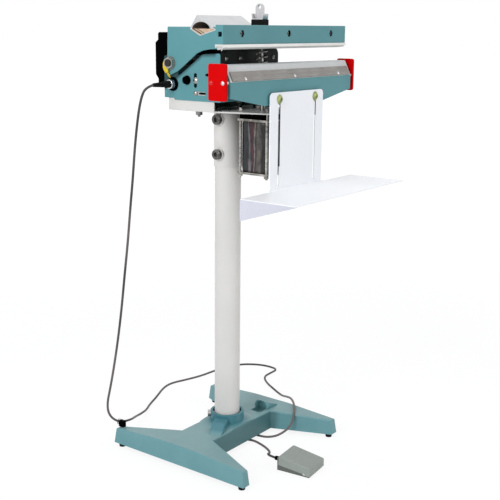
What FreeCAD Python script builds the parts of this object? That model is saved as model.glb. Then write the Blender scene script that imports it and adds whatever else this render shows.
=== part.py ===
"""Freestanding impulse sealer with a foot switch: teal H base, white column,
tray head with a magnet underneath, hinged upper jaw, sliding product shelf.

Millimetres, +Z up. The origin is the floor point on the column's centre line,
X runs along the jaws and the operator stands at -Y. The jaw stands open.
"""
import FreeCAD
import Part
import math
import os

V = FreeCAD.Vector
OUT = "parts"

# ---------------------------------------------------------------- base casting
BASE_HALF_X = 190.0
BASE_HALF_Y = 195.0
TOE_INNER_X = 168.0
WEB_INNER_X = 109.0
WEB_HALF_Y = 53.0
BASE_BOTTOM_Z = 10.0
BEAM_TOP_Z = 54.0
TOE_TOP_Z = 46.0
BASE_DRAFT = 5.0
BASE_WALL = 6.5
BASE_ROOF = 8.0
BASE_EDGE_R = 3.5
TOE_SOLID_Y = 160.0
SKIRT_R = 66.0
SKIRT_RISE = 6.0
COLLAR_R = 40.5
COLLAR_TOP_Z = 82.0
COLLAR_MOUTH_R = 34.5
COLLAR_MOUTH_DEPTH = 9.0
COLUMN_SEAT_Z = 20.0
CLAMP_BOSS_ANGLE = 200.0
CLAMP_BOSS_WIDTH = 32.0
CLAMP_BOSS_REACH = 100.0
CLAMP_BOSS_TOP_Z = 72.0
HOOD_X0 = 112.0
HOOD_X1 = 160.0
HOOD_Y = -20.0
HOOD_Z = 58.0
HOOD_R = 19.0
HOOD_WALL = 4.0
FOOT_X = 177.0
FOOT_Y = 181.0
FOOT_R = 9.0
FOOT_STEM_R = 3.5
FOOT_STEM_LEN = 9.0
SET_BOLT_ANGLE = 127.0
SET_BOLT_Z = 72.5
SET_BOLT_R = 4.0
SET_BOLT_HEAD_R = 8.0
SET_BOLT_HEAD_H = 8.0

# ---------------------------------------------------------------- column
TUBE_R = 30.15
TUBE_WALL = 3.0
TUBE_TOP_Z = 800.0
SLEEVE_R = 32.5
SLEEVE_BOTTOM_Z = 677.0
TRAY_BOTTOM_Z = 806.0
COLUMN_BOLT_Z = (785.0, 707.0)
COLUMN_BOLT_R = 5.0
COLUMN_BOLT_HEAD_R = 11.5
COLUMN_BOLT_HEAD_H = 9.0
COLUMN_BOSS_R = 13.0
COLUMN_BOSS_X = 36.5

# ---------------------------------------------------------------- tray
TRAY_T = 3.0
TRAY_HALF_X = 101.5
TRAY_FLANGE_T = 2.5
TRAY_FLANGE_TOP_Z = 853.0
TRAY_REAR_Y = 88.0
TRAY_SHOULDER_Y = -41.0
TONGUE_HALF_X0 = 95.0
TONGUE_HALF_X1 = 60.0
TONGUE_FRONT_Y = -160.0
TONGUE_LIP = 4.0
TRAY_BOLT_X = 88.0
TRAY_BOLT_Y = 12.0
M6_R = 3.0
TRAY_SCREW_X = 90.0
TRAY_SCREW_Y = -47.0

# ---------------------------------------------------------------- housing
HOUSING_HALF_X = 104.0
HOUSING_T = 2.0
HOUSING_FRONT_Y = -60.0
HOUSING_REAR_Y = 98.0
HOUSING_BOTTOM_Z = 829.0
HOUSING_REAR_BOTTOM_Z = 833.0
HOUSING_SKIRT_Z = 842.0
HOUSING_FRONT_TOP_Z = 931.5
PANEL_T = 2.0
PANEL_BOTTOM_Z = 836.0
PANEL_TOP_Z = 941.0
PANEL_CORNER_R = 14.0
PANEL_SCREW_XS = (-85.0, -36.0, 40.0, 85.0)
PANEL_SCREW_Z = 921.0
PIVOT_Y = 76.0
PIVOT_Z = 908.6
PIVOT_R = 8.0
PIVOT_LUG_R = 17.0
PIVOT_NUT_AF_R = 11.5
PIVOT_NUT_H = 6.5
PIVOT_WASHER_R = 14.0
PIVOT_WASHER_T = 2.0
SIDE_SLOT_Y = 9.0
SIDE_SLOT_Z0 = 857.0
SIDE_SLOT_Z1 = 889.0
SIDE_SLOT_W = 9.0
SIDE_SCREW_HEAD_R = 7.0
LOW_SLOT_Z = 845.5
LOW_SLOT_Y0 = -20.5
LOW_SLOT_Y1 = 13.5
LOW_SLOT_HALF_W = 4.0
FUSE_Y = 32.0
FUSE_Z = 873.0
FUSE_R = 10.0
SOCKET_Y = 72.6
SOCKET_Z = 863.0
SOCKET_FLANGE_R = 15.0
SOCKET_NUT_R = 10.5
PIN_Y = -25.6
PIN_Z = 886.0
COVER_HALF_X = 97.0
COVER_Z0 = 861.0
COVER_Z1 = 974.0
COVER_DEPTH = 26.5
COVER_BULGE = 7.8
COVER_BULGE_Z0 = 872.0
COVER_BULGE_Z1 = 958.0
COVER_SCREW_X = 80.0
COVER_SCREW_ZS = (874.0, 912.0)
COVER_T = 2.5
BOLSTER_T = 2.5

# ---------------------------------------------------------------- arm
BUSH_REACH = 1.5
CHEEK_IN_X = HOUSING_HALF_X + BUSH_REACH
CHEEK_T = 3.0
ARM_TOP_Z = 987.0
ARM_REAR_Y = 85.0
JOINT_GAP = 0.2
BAR_HALF_X = 225.0
BAR_FRONT_Y = -163.5
BAR_REAR_Y = -145.0
BAR_BOTTOM_Z = 953.3
BAR_TOP_Z = 990.7
BAR_WALL = 2.0
BAR_HOLE = 9.5
BAR_HOLE_Z = 973.0
BAR_SCREW_X = (-163.0, 0.0, 165.0)
BAR_SCREW_Z = 974.0
BAR_SCREW_R = 5.6
BAR_RECESS_R = 7.0
HOLDER_FRONT_Y = -166.0
HOLDER_REAR_Y = -143.5
HOLDER_H = 6.3
PAD_FRONT_Y = -162.5
PAD_REAR_Y = -147.5
PAD_H = 3.2
JAW_CLOSE_DEG = 7.3
BOX_END = ((0.3, 1010.4), (19.9, 981.9), (-7.8, 967.5), (-52.9, 980.0), (-12.1, 1003.3))
BOX_RIGHT_X = 45.0
BOX_WALL = 1.5
ANCHOR_Y = -86.0
ANCHOR_X = 20.0
ANCHOR_LEN = 34.0
BUFFER_H = 15.5
BRACKET_H = 12.0
BRACKET_T = 2.5
LUG_T = 5.5
LUG_W = 20.0
LUG_RISE = 31.0
LUG_TOP_Z = ARM_TOP_Z + BUFFER_H + BRACKET_T + LUG_RISE
LUG_HOLE_R = 4.5

# ---------------------------------------------------------------- pull linkage
LINK_TOP_Z = 960.0
LINK_PIN_R = 4.0
LINK_T = 6.0
LINK_W = 16.0
PLUNGER_Y = -95.5
PLUNGER_PIN_Z = 845.0
PLUNGER_R = 14.0
PLUNGER_TOP_Z = 800.0
PLUNGER_BOTTOM_Z = 700.0
ROD_R = 5.5
FORK_R = 9.0
FORK_HALF_X = 10.0
SEAT_Z = 879.0
SEAT_T = 3.0
BRACKET_BOLT_X = 42.0
BRACKET_BOLT_ZS = (SEAT_Z - 21.0, SEAT_Z - 8.0)
JAW_BOLT_Z = SEAT_Z - 14.0
SPRING_R = 14.0
SPRING_WIRE_R = 1.25
SPRING_TURNS = 6
SPRING_STEPS = 10

# ---------------------------------------------------------------- lower jaw
JAW_HALF_X = 224.0
JAW_REAR_Y = -138.0
JAW_TOP_Z = 911.5
JAW_LIP_Y = -167.0
JAW_FRONT_Y = -182.0
JAW_KNEE_Z = 880.5
JAW_T = 3.0
JAW_REAR_BOTTOM_Z = 850.0
APRON_LOW_Z = 829.0
APRON_END_Z = 850.0
APRON_FLAT_X = 108.0
INSULATION_T = 1.2
RIBBON_T = 0.4
RIBBON_W = 8.0
RIBBON_Y = -156.0
CLOTH_T = 0.5
STRIP_HALF_X = 218.0
STRIP_T = 2.5
STRIP_SPAN = (12.5, 33.0)
STRIP_SCREW_X = (-175.0, -2.0, 171.0)
CAP_X0 = 234.0
CAP_T = 6.0
CAP_FRONT_Y = -182.0
CAP_REAR_Y = -138.0
CAP_Z0 = 845.0
CAP_Z1 = 917.0
CAP_CORNER_R = 5.0
CAP_SCREWS = ((-174.5, 880.0), (-146.0, 880.0))
SPACER_R = 5.0

# ---------------------------------------------------------------- shelf
SHELF_PLATE_T = 2.5
SHELF_PLATE_Y = -186.0
SHELF_PLATE_HALF_X = 99.0
SHELF_PLATE_TOP_Z = 855.0
SHELF_TOP_Z = 652.0
SHELF_SLOT_X = 67.0
SHELF_SLOT_W = 7.0
SHELF_SLOT_Z0 = 658.0
SHELF_SCREW_Z = 841.0
SHELF_SCREW_R = 3.0
SHELF_HEAD_R = 10.0
SHELF_HEAD_H = 5.0
SHELF_HALF_X = 213.0
SHELF_FRONT_Y = -334.0
SHELF_SHEET_T = 2.0
SHELF_HEM = 12.0

# ---------------------------------------------------------------- magnet
MAGNET_HALF_X = 38.0
MAGNET_Y0 = -137.5
MAGNET_Y1 = -53.5
MAGNET_TOP_Z = 791.0
MAGNET_BOTTOM_Z = 669.0
MAGNET_PLATE_T = 5.0
MAGNET_ROD_X = 32.0
MAGNET_ROD_Y = 36.0
MAGNET_ROD_R = 3.0
COIL_HALF_X = 30.0
COIL_HALF_Y = 32.5
COIL_CORNER_R = 20.0
COIL_BORE_R = 14.6

# ---------------------------------------------------------------- foot switch
SWITCH_X = -16.0
SWITCH_Y = -226.5
SWITCH_TURN = 6.5
SWITCH_W = 71.0
SWITCH_L = 85.0
SWITCH_REAR_Z = 36.0
SWITCH_FRONT_Z = 24.0
SWITCH_BASE_Z = 11.0
SWITCH_T = 2.5
SWITCH_PIN_Y = -28.0
SWITCH_PIN_Z = 8.0
SWITCH_PIN_R = 2.5
GLAND_LENGTH = 8.0

# ---------------------------------------------------------------- cord
CORD_D = 5.5
BOOT_TIP_X = -170.0
CLIP_X = -172.0
CLIP_Y = 194.0
CLIP_TOP_Z = 62.0
CLIP_RING_R = 7.5
CLIP_RING_WALL = 2.7
CLIP_RING_LENGTH = 5.0
CLIP_BEND = 14

FIT = 0.05


def box(x0, x1, y0, y1, z0, z1):
    """Block between two corners."""
    return Part.makeBox(x1 - x0, y1 - y0, z1 - z0, V(x0, y0, z0))


def rod(p, axis, r, length):
    """Round bar from point p along axis."""
    return Part.makeCylinder(r, length, V(*p), V(*axis))


def tube(p, axis, r_out, r_in, length):
    return rod(p, axis, r_out, length).cut(rod(p, axis, r_in, length))


def fuse(first, *others):
    """One clean solid from pieces that overlap."""
    shape = first
    for o in others:
        shape = shape.fuse(o)
    return shape.removeSplitter()


def cut(shape, *tools):
    for t in tools:
        shape = shape.cut(t)
    return shape


def group(solids):
    """Separate solids kept in one node."""
    return Part.makeCompound(solids)


def polygon(points):
    return Part.makePolygon(points + [points[0]])


def prism_x(yz, x0, x1):
    """Outline in (Y, Z) pulled along X."""
    face = Part.Face(polygon([V(x0, y, z) for y, z in yz]))
    return face.extrude(V(x1 - x0, 0, 0))


def prism_y(xz, y0, y1):
    """Outline in (X, Z) pulled along Y."""
    face = Part.Face(polygon([V(x, y0, z) for x, z in xz]))
    return face.extrude(V(0, y1 - y0, 0))


def prism_z(xy, z0, z1):
    """Outline in (X, Y) pulled up."""
    face = Part.Face(polygon([V(x, y, z0) for x, y in xy]))
    return face.extrude(V(0, 0, z1 - z0))


def inset(points, d):
    """Closed outline moved inward by d; the points run anticlockwise."""
    out = []
    n = len(points)
    for i in range(n):
        ax, ay = points[i - 1]
        bx, by = points[i]
        cx, cy = points[(i + 1) % n]
        u = V(bx - ax, by - ay, 0).normalize()
        w = V(cx - bx, cy - by, 0).normalize()
        nu = V(-u.y, u.x, 0)
        nw = V(-w.y, w.x, 0)
        k = d / (1.0 + nu.dot(nw))
        out.append((bx + (nu.x + nw.x) * k, by + (nu.y + nw.y) * k))
    return out


def offset_line(points, d):
    """Open outline moved to its left by d."""
    out = []
    for i, (px, py) in enumerate(points):
        dirs = []
        if i > 0:
            dirs.append(V(px - points[i - 1][0], py - points[i - 1][1], 0).normalize())
        if i < len(points) - 1:
            dirs.append(V(points[i + 1][0] - px, points[i + 1][1] - py, 0).normalize())
        a = V(-dirs[0].y, dirs[0].x, 0)
        b = V(-dirs[-1].y, dirs[-1].x, 0)
        k = d / (1.0 + a.dot(b))
        out.append((px + (a.x + b.x) * k, py + (a.y + b.y) * k))
    return out


def plate_of(points, d):
    """Closed outline of a bent plate: an open line and its offset."""
    return points + offset_line(points, d)[::-1]


def slot_y(x, z0, z1, w, y0, y1):
    """Upright slot with round ends, cut through a wall that faces Y."""
    r = w / 2.0
    low = rod((x, y0, z0 + r), (0, 1, 0), r, y1 - y0)
    high = rod((x, y0, z1 - r), (0, 1, 0), r, y1 - y0)
    return fuse(box(x - r, x + r, y0, y1, z0 + r, z1 - r), low, high)


def slot_x(y0, y1, z0, z1, x0, x1):
    """Slot with round ends through a wall that faces X, longer side either way."""
    r = min(y1 - y0, z1 - z0) / 2.0
    a = rod((x0, y0 + r, z0 + r), (1, 0, 0), r, x1 - x0)
    b = rod((x0, y1 - r, z1 - r), (1, 0, 0), r, x1 - x0)
    if y1 - y0 > z1 - z0:
        mid = box(x0, x1, y0 + r, y1 - r, z0, z1)
    else:
        mid = box(x0, x1, y0, y1, z0 + r, z1 - r)
    return fuse(mid, a, b)


def hexagon(p, axis, across, height):
    """Six-sided nut or head standing on p along axis."""
    prism = Part.Face(polygon([
        V(across * math.cos(math.radians(60 * i)) / math.cos(math.pi / 6) / 2.0,
          across * math.sin(math.radians(60 * i)) / math.cos(math.pi / 6) / 2.0, 0)
        for i in range(6)])).extrude(V(0, 0, height))
    prism.Placement = FreeCAD.Placement(V(*p), FreeCAD.Rotation(V(0, 0, 1), V(*axis)))
    return prism


def socket_screw(p, axis, r, length, head_r, head_h):
    """Cylinder-head screw: p is under the head and axis points out of the head."""
    a = V(*axis).normalize()
    start = V(*p)
    head = Part.makeCylinder(head_r, head_h, start, a)
    try:
        rim = [e for e in head.Edges
               if e.Curve.TypeId == "Part::GeomCircle"
               and abs((e.Curve.Center - start).dot(a) - head_h) < 0.01]
        head = head.makeFillet(min(1.0, head_h * 0.2), rim)
    except Part.OCCError:
        pass
    shank = Part.makeCylinder(r, length + 0.5, start - a * length, a)
    key = hexagon(tuple(start + a * (head_h * 0.45)), axis, head_r * 0.9, head_h)
    return head.fuse(shank).cut(key).removeSplitter()


def pan_screw(p, axis, r, length, head_r, head_h):
    """Domed screw: p is under the head and axis points out of the head."""
    a = V(*axis).normalize()
    start = V(*p)
    ball_r = (head_r ** 2 + head_h ** 2) / (2.0 * head_h)
    ball = Part.makeSphere(ball_r, start + a * (head_h - ball_r))
    head = ball.common(Part.makeCylinder(head_r, head_h + 1.0, start, a))
    shank = Part.makeCylinder(r, length + 0.3, start - a * length, a)
    key = hexagon(tuple(start + a * (head_h * 0.5)), axis, head_r * 0.7, head_h)
    return head.fuse(shank).cut(key).removeSplitter()


def soften(shape, radius, wanted):
    """Round the edges that wanted picks; keep the shape if the round won't form."""
    edges = [e for e in shape.Edges if wanted(e)]
    if not edges:
        return shape
    try:
        out = shape.makeFillet(radius, edges)
        if out.isValid() and out.Volume > 0:
            return out
    except Part.OCCError:
        pass
    return shape


def save(name, shape):
    shape.exportStep(os.path.join(OUT, name + ".step"))
    print(name, round(shape.Volume / 1000.0, 2), "cm3", len(shape.Solids), "solids")


# %% Base: casting, feet, set bolt
def base_outline():
    x0, x1, x2 = BASE_HALF_X, TOE_INNER_X, WEB_INNER_X
    y0, y1 = BASE_HALF_Y, WEB_HALF_Y
    return [(-x0, -y0), (-x1, -y0), (-x2, -y1), (x2, -y1), (x1, -y0), (x0, -y0),
            (x0, y0), (x1, y0), (x2, y1), (-x2, y1), (-x1, y0), (-x0, y0)]


def drafted(outline, z0, z1, draft):
    """Cast block whose sides lean in by draft from bottom to top."""
    low = polygon([V(x, y, z0) for x, y in outline])
    high = polygon([V(x, y, z1) for x, y in inset(outline, draft)])
    return Part.makeLoft([low, high], True, True)


def toe_slope(z_mid, z_toe):
    """Wedges that plane the beams down from the web to the toes."""
    far = BASE_HALF_Y + 5.0
    drop = (z_mid - z_toe) / (BASE_HALF_Y - WEB_HALF_Y)
    z_far = z_toe - drop * 5.0
    span = BASE_HALF_X + 10.0
    tools = []
    for s in (-1, 1):
        tools.append(prism_x([(s * WEB_HALF_Y, z_mid), (s * far, z_far),
                              (s * far, z_mid + 5), (s * WEB_HALF_Y, z_mid + 5)],
                             -span, span))
    return tools


def make_base():
    outline = base_outline()
    iron = drafted(outline, BASE_BOTTOM_Z, BEAM_TOP_Z, BASE_DRAFT)
    iron = cut(iron, *toe_slope(BEAM_TOP_Z, TOE_TOP_Z)).removeSplitter()
    iron = soften(iron, BASE_EDGE_R, lambda e: e.BoundBox.ZMin > BASE_BOTTOM_Z + 1.0)
    void = drafted(inset(outline, BASE_WALL), BASE_BOTTOM_Z - 1.0,
                   TOE_TOP_Z - BASE_ROOF + 2.0, 1.5)
    void = void.common(box(-300, 300, -TOE_SOLID_Y, TOE_SOLID_Y, 0, 100))
    skirt = Part.makeCone(SKIRT_R, COLLAR_R, SKIRT_RISE, V(0, 0, BEAM_TOP_Z - 0.01))
    skirt = skirt.common(box(-300, 300, -WEB_HALF_Y + BASE_DRAFT, WEB_HALF_Y - BASE_DRAFT,
                             0, 100))
    collar = rod((0, 0, BASE_BOTTOM_Z), (0, 0, 1), COLLAR_R, COLLAR_TOP_Z - BASE_BOTTOM_Z)
    collar = soften(collar, 1.5, lambda e: e.BoundBox.ZMin > COLLAR_TOP_Z - 0.1)
    half = CLAMP_BOSS_WIDTH / 2.0
    boss = Part.Face(polygon([
        V(25, -half, BASE_BOTTOM_Z + 8), V(25, -half, CLAMP_BOSS_TOP_Z + 4),
        V(COLLAR_R + 4, -half, CLAMP_BOSS_TOP_Z + 3), V(COLLAR_R + 22, -half, CLAMP_BOSS_TOP_Z),
        V(CLAMP_BOSS_REACH, -half, BEAM_TOP_Z - 4),
        V(CLAMP_BOSS_REACH, -half, BASE_BOTTOM_Z + 8)])).extrude(V(0, CLAMP_BOSS_WIDTH, 0))
    boss = soften(boss, 3.0, lambda e: e.BoundBox.ZMin > BEAM_TOP_Z - 6)
    boss.rotate(V(0, 0, 0), V(0, 0, 1), CLAMP_BOSS_ANGLE)
    hood = rod((HOOD_X0, HOOD_Y, HOOD_Z), (1, 0, 0), HOOD_R, HOOD_X1 - HOOD_X0)
    slope = prism_y([(HOOD_X0 - 5, HOOD_Z + HOOD_R), (HOOD_X1 + 5, BEAM_TOP_Z - 3),
                     (HOOD_X1 + 5, HOOD_Z + 60), (HOOD_X0 - 5, HOOD_Z + 60)],
                    HOOD_Y - 60, HOOD_Y + 60)
    hood = hood.cut(slope).cut(box(0, 300, -100, 100, 0, BEAM_TOP_Z - 6))
    iron = fuse(iron.cut(void), skirt, collar, boss, hood)
    pocket = rod((HOOD_X0 - 25, HOOD_Y, HOOD_Z), (1, 0, 0), HOOD_R - HOOD_WALL,
                 HOOD_X1 - HOOD_X0 - 10)
    r = TUBE_R + FIT
    bore = fuse(rod((0, 0, COLUMN_SEAT_Z), (0, 0, 1), r, 100),
                rod((0, 0, COLLAR_TOP_Z - COLLAR_MOUTH_DEPTH), (0, 0, 1), COLLAR_MOUTH_R, 50),
                rod((0, 0, 0), (0, 0, 1), TUBE_R - TUBE_WALL, 50))
    iron = cut(iron, pocket, bore)
    a = math.radians(SET_BOLT_ANGLE)
    d = (math.cos(a), math.sin(a), 0)
    seat = COLLAR_R - 1.6
    iron = iron.cut(rod((0, 0, SET_BOLT_Z), d, SET_BOLT_R + FIT, 80))
    flat = rod((d[0] * seat, d[1] * seat, SET_BOLT_Z), d, SET_BOLT_HEAD_R + 1.0, 20)
    iron = iron.cut(flat)
    for sx in (-1, 1):
        for sy in (-1, 1):
            iron = iron.cut(rod((sx * FOOT_X, sy * FOOT_Y, 0), (0, 0, 1), FOOT_STEM_R + FIT,
                                BASE_BOTTOM_Z + FOOT_STEM_LEN + 1.0))
    tube_gap = TUBE_R + 0.4
    bolt = socket_screw((d[0] * seat, d[1] * seat, SET_BOLT_Z), d, SET_BOLT_R,
                        seat - tube_gap, SET_BOLT_HEAD_R, SET_BOLT_HEAD_H)
    return iron.removeSplitter(), bolt


def make_feet():
    feet = []
    for sx in (-1, 1):
        for sy in (-1, 1):
            disc = Part.makeCone(FOOT_R - 1.5, FOOT_R, BASE_BOTTOM_Z,
                                 V(sx * FOOT_X, sy * FOOT_Y, 0))
            stem = rod((sx * FOOT_X, sy * FOOT_Y, BASE_BOTTOM_Z - 1), (0, 0, 1),
                       FOOT_STEM_R, FOOT_STEM_LEN + 1)
            feet.append(disc.fuse(stem).removeSplitter())
    return group(feet)


# %% Column: tube, clamped sleeve, its two bolts
def make_column():
    pipe = tube((0, 0, COLUMN_SEAT_Z), (0, 0, 1), TUBE_R, TUBE_R - TUBE_WALL,
                TUBE_TOP_Z - COLUMN_SEAT_Z)
    sleeve = rod((0, 0, SLEEVE_BOTTOM_Z), (0, 0, 1), SLEEVE_R, TRAY_BOTTOM_Z - SLEEVE_BOTTOM_Z)
    bolts = []
    for z in COLUMN_BOLT_Z:
        sleeve = sleeve.fuse(rod((0, 0, z), (-1, 0, 0), COLUMN_BOSS_R, COLUMN_BOSS_X))
        pipe = pipe.cut(rod((0, 0, z), (-1, 0, 0), COLUMN_BOLT_R + FIT, 60))
        bolts.append(socket_screw((-COLUMN_BOSS_X, 0, z), (-1, 0, 0), COLUMN_BOLT_R, 16.0,
                                  COLUMN_BOLT_HEAD_R, COLUMN_BOLT_HEAD_H))
    sleeve = sleeve.cut(rod((0, 0, 600), (0, 0, 1), TUBE_R + FIT, 300))
    for z in COLUMN_BOLT_Z:
        sleeve = sleeve.cut(rod((0, 0, z), (-1, 0, 0), COLUMN_BOLT_R + FIT, 60))
    return pipe, sleeve.removeSplitter(), group(bolts)


# %% Tray with its tongue, and what is bolted to it
def make_tray():
    x = TRAY_HALF_X
    z0 = TRAY_BOTTOM_Z
    pan = prism_z([(-x, TRAY_SHOULDER_Y), (-TONGUE_HALF_X0, TRAY_SHOULDER_Y - 6),
                   (-TONGUE_HALF_X1, TONGUE_FRONT_Y), (TONGUE_HALF_X1, TONGUE_FRONT_Y),
                   (TONGUE_HALF_X0, TRAY_SHOULDER_Y - 6), (x, TRAY_SHOULDER_Y),
                   (x, TRAY_REAR_Y), (-x, TRAY_REAR_Y)], z0, z0 + TRAY_T)
    lip = box(-TONGUE_HALF_X1, TONGUE_HALF_X1, TONGUE_FRONT_Y, TONGUE_FRONT_Y + TRAY_T,
              z0, z0 + TRAY_T + TONGUE_LIP)
    sides = []
    for s in (-1, 1):
        a, b = sorted((s * x, s * (x - TRAY_FLANGE_T)))
        sides.append(box(a, b, TRAY_SHOULDER_Y, TRAY_REAR_Y, z0, TRAY_FLANGE_TOP_Z))
    tray = fuse(pan, lip, *sides)
    tray = soften(tray, 2.0, lambda e: abs(e.BoundBox.XLength) < 0.01
                  and abs(e.BoundBox.ZLength) < 0.01 and e.BoundBox.ZMax < z0 + 0.1
                  and abs(abs(e.BoundBox.XMin) - x) < 0.1)
    tray = tray.cut(rod((0, PLUNGER_Y, z0 - 1), (0, 0, 1), COIL_BORE_R, 20))
    for s in (-1, 1):
        tray = tray.cut(rod((s * TRAY_BOLT_X, TRAY_BOLT_Y, z0 - 1), (0, 0, 1), M6_R + FIT, 20))
        tray = tray.cut(rod((s * 110, LOW_SLOT_Y1 - 4.5, LOW_SLOT_Z), (-s, 0, 0),
                            2.5 + FIT, 20))
        a, b = sorted((s * (x - 10), s * (x + 5)))
        tray = tray.cut(slot_x(LOW_SLOT_Y0 + 2.0, LOW_SLOT_Y1 - 11.0, LOW_SLOT_Z - 2.5,
                               LOW_SLOT_Z + 2.5, a, b))
        tray = tray.cut(rod((s * TRAY_SCREW_X, TRAY_SCREW_Y, z0 - 1), (0, 0, 1), 2.5 + FIT, 20))
    bolts = []
    nuts = []
    screws = []
    for s in (-1, 1):
        bx = s * TRAY_BOLT_X
        bolts.append(socket_screw((bx, TRAY_BOLT_Y, z0 + TRAY_T), (0, 0, 1), M6_R, 15.0, 5.5, 5.0))
        nut = hexagon((bx, TRAY_BOLT_Y, z0 - 8), (0, 0, 1), 13.0, 8)
        nuts.append(nut.cut(rod((bx, TRAY_BOLT_Y, z0 - 10), (0, 0, 1), M6_R + FIT, 12)))
        screws.append(pan_screw((s * TRAY_SCREW_X, TRAY_SCREW_Y, z0 + TRAY_T), (0, 0, 1),
                                2.5, TRAY_T + 5.0, 5.0, 3.0))
    return tray, group(bolts), group(nuts), group(screws)


# %% Lower housing: side walls, front wall, rear wall
HOUSING_SIDE = [(HOUSING_FRONT_Y, HOUSING_BOTTOM_Z), (69.0, HOUSING_BOTTOM_Z),
                (70.0, HOUSING_REAR_BOTTOM_Z), (HOUSING_REAR_Y, HOUSING_REAR_BOTTOM_Z),
                (HOUSING_REAR_Y, PIVOT_Z + 14.0), (PIVOT_Y + 12.0, PIVOT_Z + PIVOT_LUG_R),
                (PIVOT_Y - 10.0, PIVOT_Z + PIVOT_LUG_R), (58.5, 881.0), (41.0, 891.3),
                (-8.0, 927.0), (-17.0, 929.6), (-56.5, HOUSING_FRONT_TOP_Z), (HOUSING_FRONT_Y, 928.0)]


def make_housing():
    x = HOUSING_HALF_X
    t = HOUSING_T
    walls = []
    for s in (-1, 1):
        a, b = sorted((s * x, s * (x - t)))
        wall = prism_x(HOUSING_SIDE, a, b)
        wall = wall.cut(rod((a - 1, PIVOT_Y, PIVOT_Z), (1, 0, 0), PIVOT_R + FIT, t + 2))
        wall = wall.cut(slot_x(SIDE_SLOT_Y - SIDE_SLOT_W / 2, SIDE_SLOT_Y + SIDE_SLOT_W / 2,
                               SIDE_SLOT_Z0, SIDE_SLOT_Z1, a - 1, b + 1))
        wall = wall.cut(slot_x(LOW_SLOT_Y0, LOW_SLOT_Y1, LOW_SLOT_Z - LOW_SLOT_HALF_W, LOW_SLOT_Z + LOW_SLOT_HALF_W,
                               a - 1, b + 1))
        walls.append(wall)
    front = box(-x, x, HOUSING_FRONT_Y, HOUSING_FRONT_Y + t, HOUSING_BOTTOM_Z, 928.0)
    rear = box(-x, x, HOUSING_REAR_Y - t, HOUSING_REAR_Y, HOUSING_REAR_BOTTOM_Z,
               PIVOT_Z + 14.0)
    shell = fuse(walls[0], walls[1], front, rear)
    shell = shell.cut(rod((-x - 2, FUSE_Y, FUSE_Z), (1, 0, 0), FUSE_R - 1.5 + FIT, 8))
    shell = shell.cut(rod((-x - 2, SOCKET_Y, SOCKET_Z), (1, 0, 0), SOCKET_NUT_R - 1.5 + FIT, 8))
    shell = shell.cut(rod((-x - 2, PIN_Y, PIN_Z), (1, 0, 0), 2.0 + FIT, 8))
    for px in (-BRACKET_BOLT_X, BRACKET_BOLT_X):
        for pz in BRACKET_BOLT_ZS:
            shell = shell.cut(rod((px, HOUSING_FRONT_Y - 5, pz), (0, 1, 0), 2.5 + FIT, 12))
    for px in (-80.0, 80.0):
        for pz in (874.0, 912.0):
            shell = shell.cut(rod((px, HOUSING_REAR_Y - 5, pz), (0, 1, 0), 2.0 + FIT, 12))
    return shell


def make_front_panel():
    """Black plate on the housing's front wall, round at its two upper corners."""
    x = HOUSING_HALF_X
    y0 = HOUSING_FRONT_Y - PANEL_T
    panel = box(-x, x, y0, HOUSING_FRONT_Y, PANEL_BOTTOM_Z, PANEL_TOP_Z)
    panel = soften(panel, PANEL_CORNER_R, lambda e: abs(e.BoundBox.YLength - PANEL_T) < 0.01
                   and e.BoundBox.ZMin > PANEL_TOP_Z - 1)
    ribs = [box(-x + 14, x - 14, y0 - 5, y0, 934.0, 937.0)]
    panel = fuse(panel, *ribs)
    for px in (-BRACKET_BOLT_X, BRACKET_BOLT_X):
        for pz in BRACKET_BOLT_ZS:
            panel = panel.cut(rod((px, y0 - 5, pz), (0, 1, 0), 2.5 + FIT, 12))
    screws = []
    for px in PANEL_SCREW_XS:
        z = PANEL_SCREW_Z
        panel = panel.cut(rod((px, y0 - 5, z), (0, 1, 0), 2.5 + FIT, 12))
        screws.append(pan_screw((px, y0, z), (0, -1, 0), 2.5, PANEL_T + HOUSING_T + 2, 5.0, 3.0))
    return panel, group(screws)


def panel_holes(shell):
    for px in PANEL_SCREW_XS:
        shell = shell.cut(rod((px, HOUSING_FRONT_Y - 5, PANEL_SCREW_Z), (0, 1, 0), 2.5 + FIT, 12))
    return shell


def make_rear_cover():
    """Moulded cover: a shallow box with a rounded bulge across its back."""
    y0 = HOUSING_REAR_Y
    x = COVER_HALF_X

    def body(d):
        rear = y0 + COVER_DEPTH - d
        bulge = rear + COVER_BULGE
        profile = [(y0 - 1, COVER_Z0 + d), (rear - 3, COVER_Z0 + d), (rear, COVER_Z0 + 3 + d),
                   (rear, COVER_BULGE_Z0 + d), (bulge, COVER_BULGE_Z0 + 10 + d),
                   (bulge, COVER_BULGE_Z1 - 6 - d), (rear, COVER_BULGE_Z1 - d),
                   (rear, COVER_Z1 - 3 - d), (rear - 3, COVER_Z1 - d), (y0 - 1, COVER_Z1 - d)]
        return prism_x(profile, -x + d, x - d)

    outer = soften(body(0.0), 4.0, lambda e: abs(abs(e.BoundBox.XMin) - x) < 0.1
                   and e.BoundBox.XLength < 0.01 and e.BoundBox.YMax > y0 + 2)
    outer = outer.common(box(-300, 300, y0, 300, 0, 1200))
    cover = outer.cut(body(COVER_T))
    ear = box(-x, x, y0, y0 + COVER_T, COVER_Z1 - 42, COVER_Z1 - 1)
    tabs = [box(px - 9, px + 9, y0, y0 + COVER_T, COVER_Z0 + 1, COVER_Z1 - 41)
            for px in (-COVER_SCREW_X, COVER_SCREW_X)]
    cover = fuse(cover, ear, *tabs)
    screws = []
    for px in (-COVER_SCREW_X, COVER_SCREW_X):
        for pz in COVER_SCREW_ZS:
            cover = cover.cut(rod((px, y0 - 5, pz), (0, 1, 0), 2.0 + FIT, 12))
            screws.append(pan_screw((px, y0 - HOUSING_T, pz), (0, -1, 0), 2.0, 6.0, 4.0, 2.5))
    return cover, group(screws)


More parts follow.
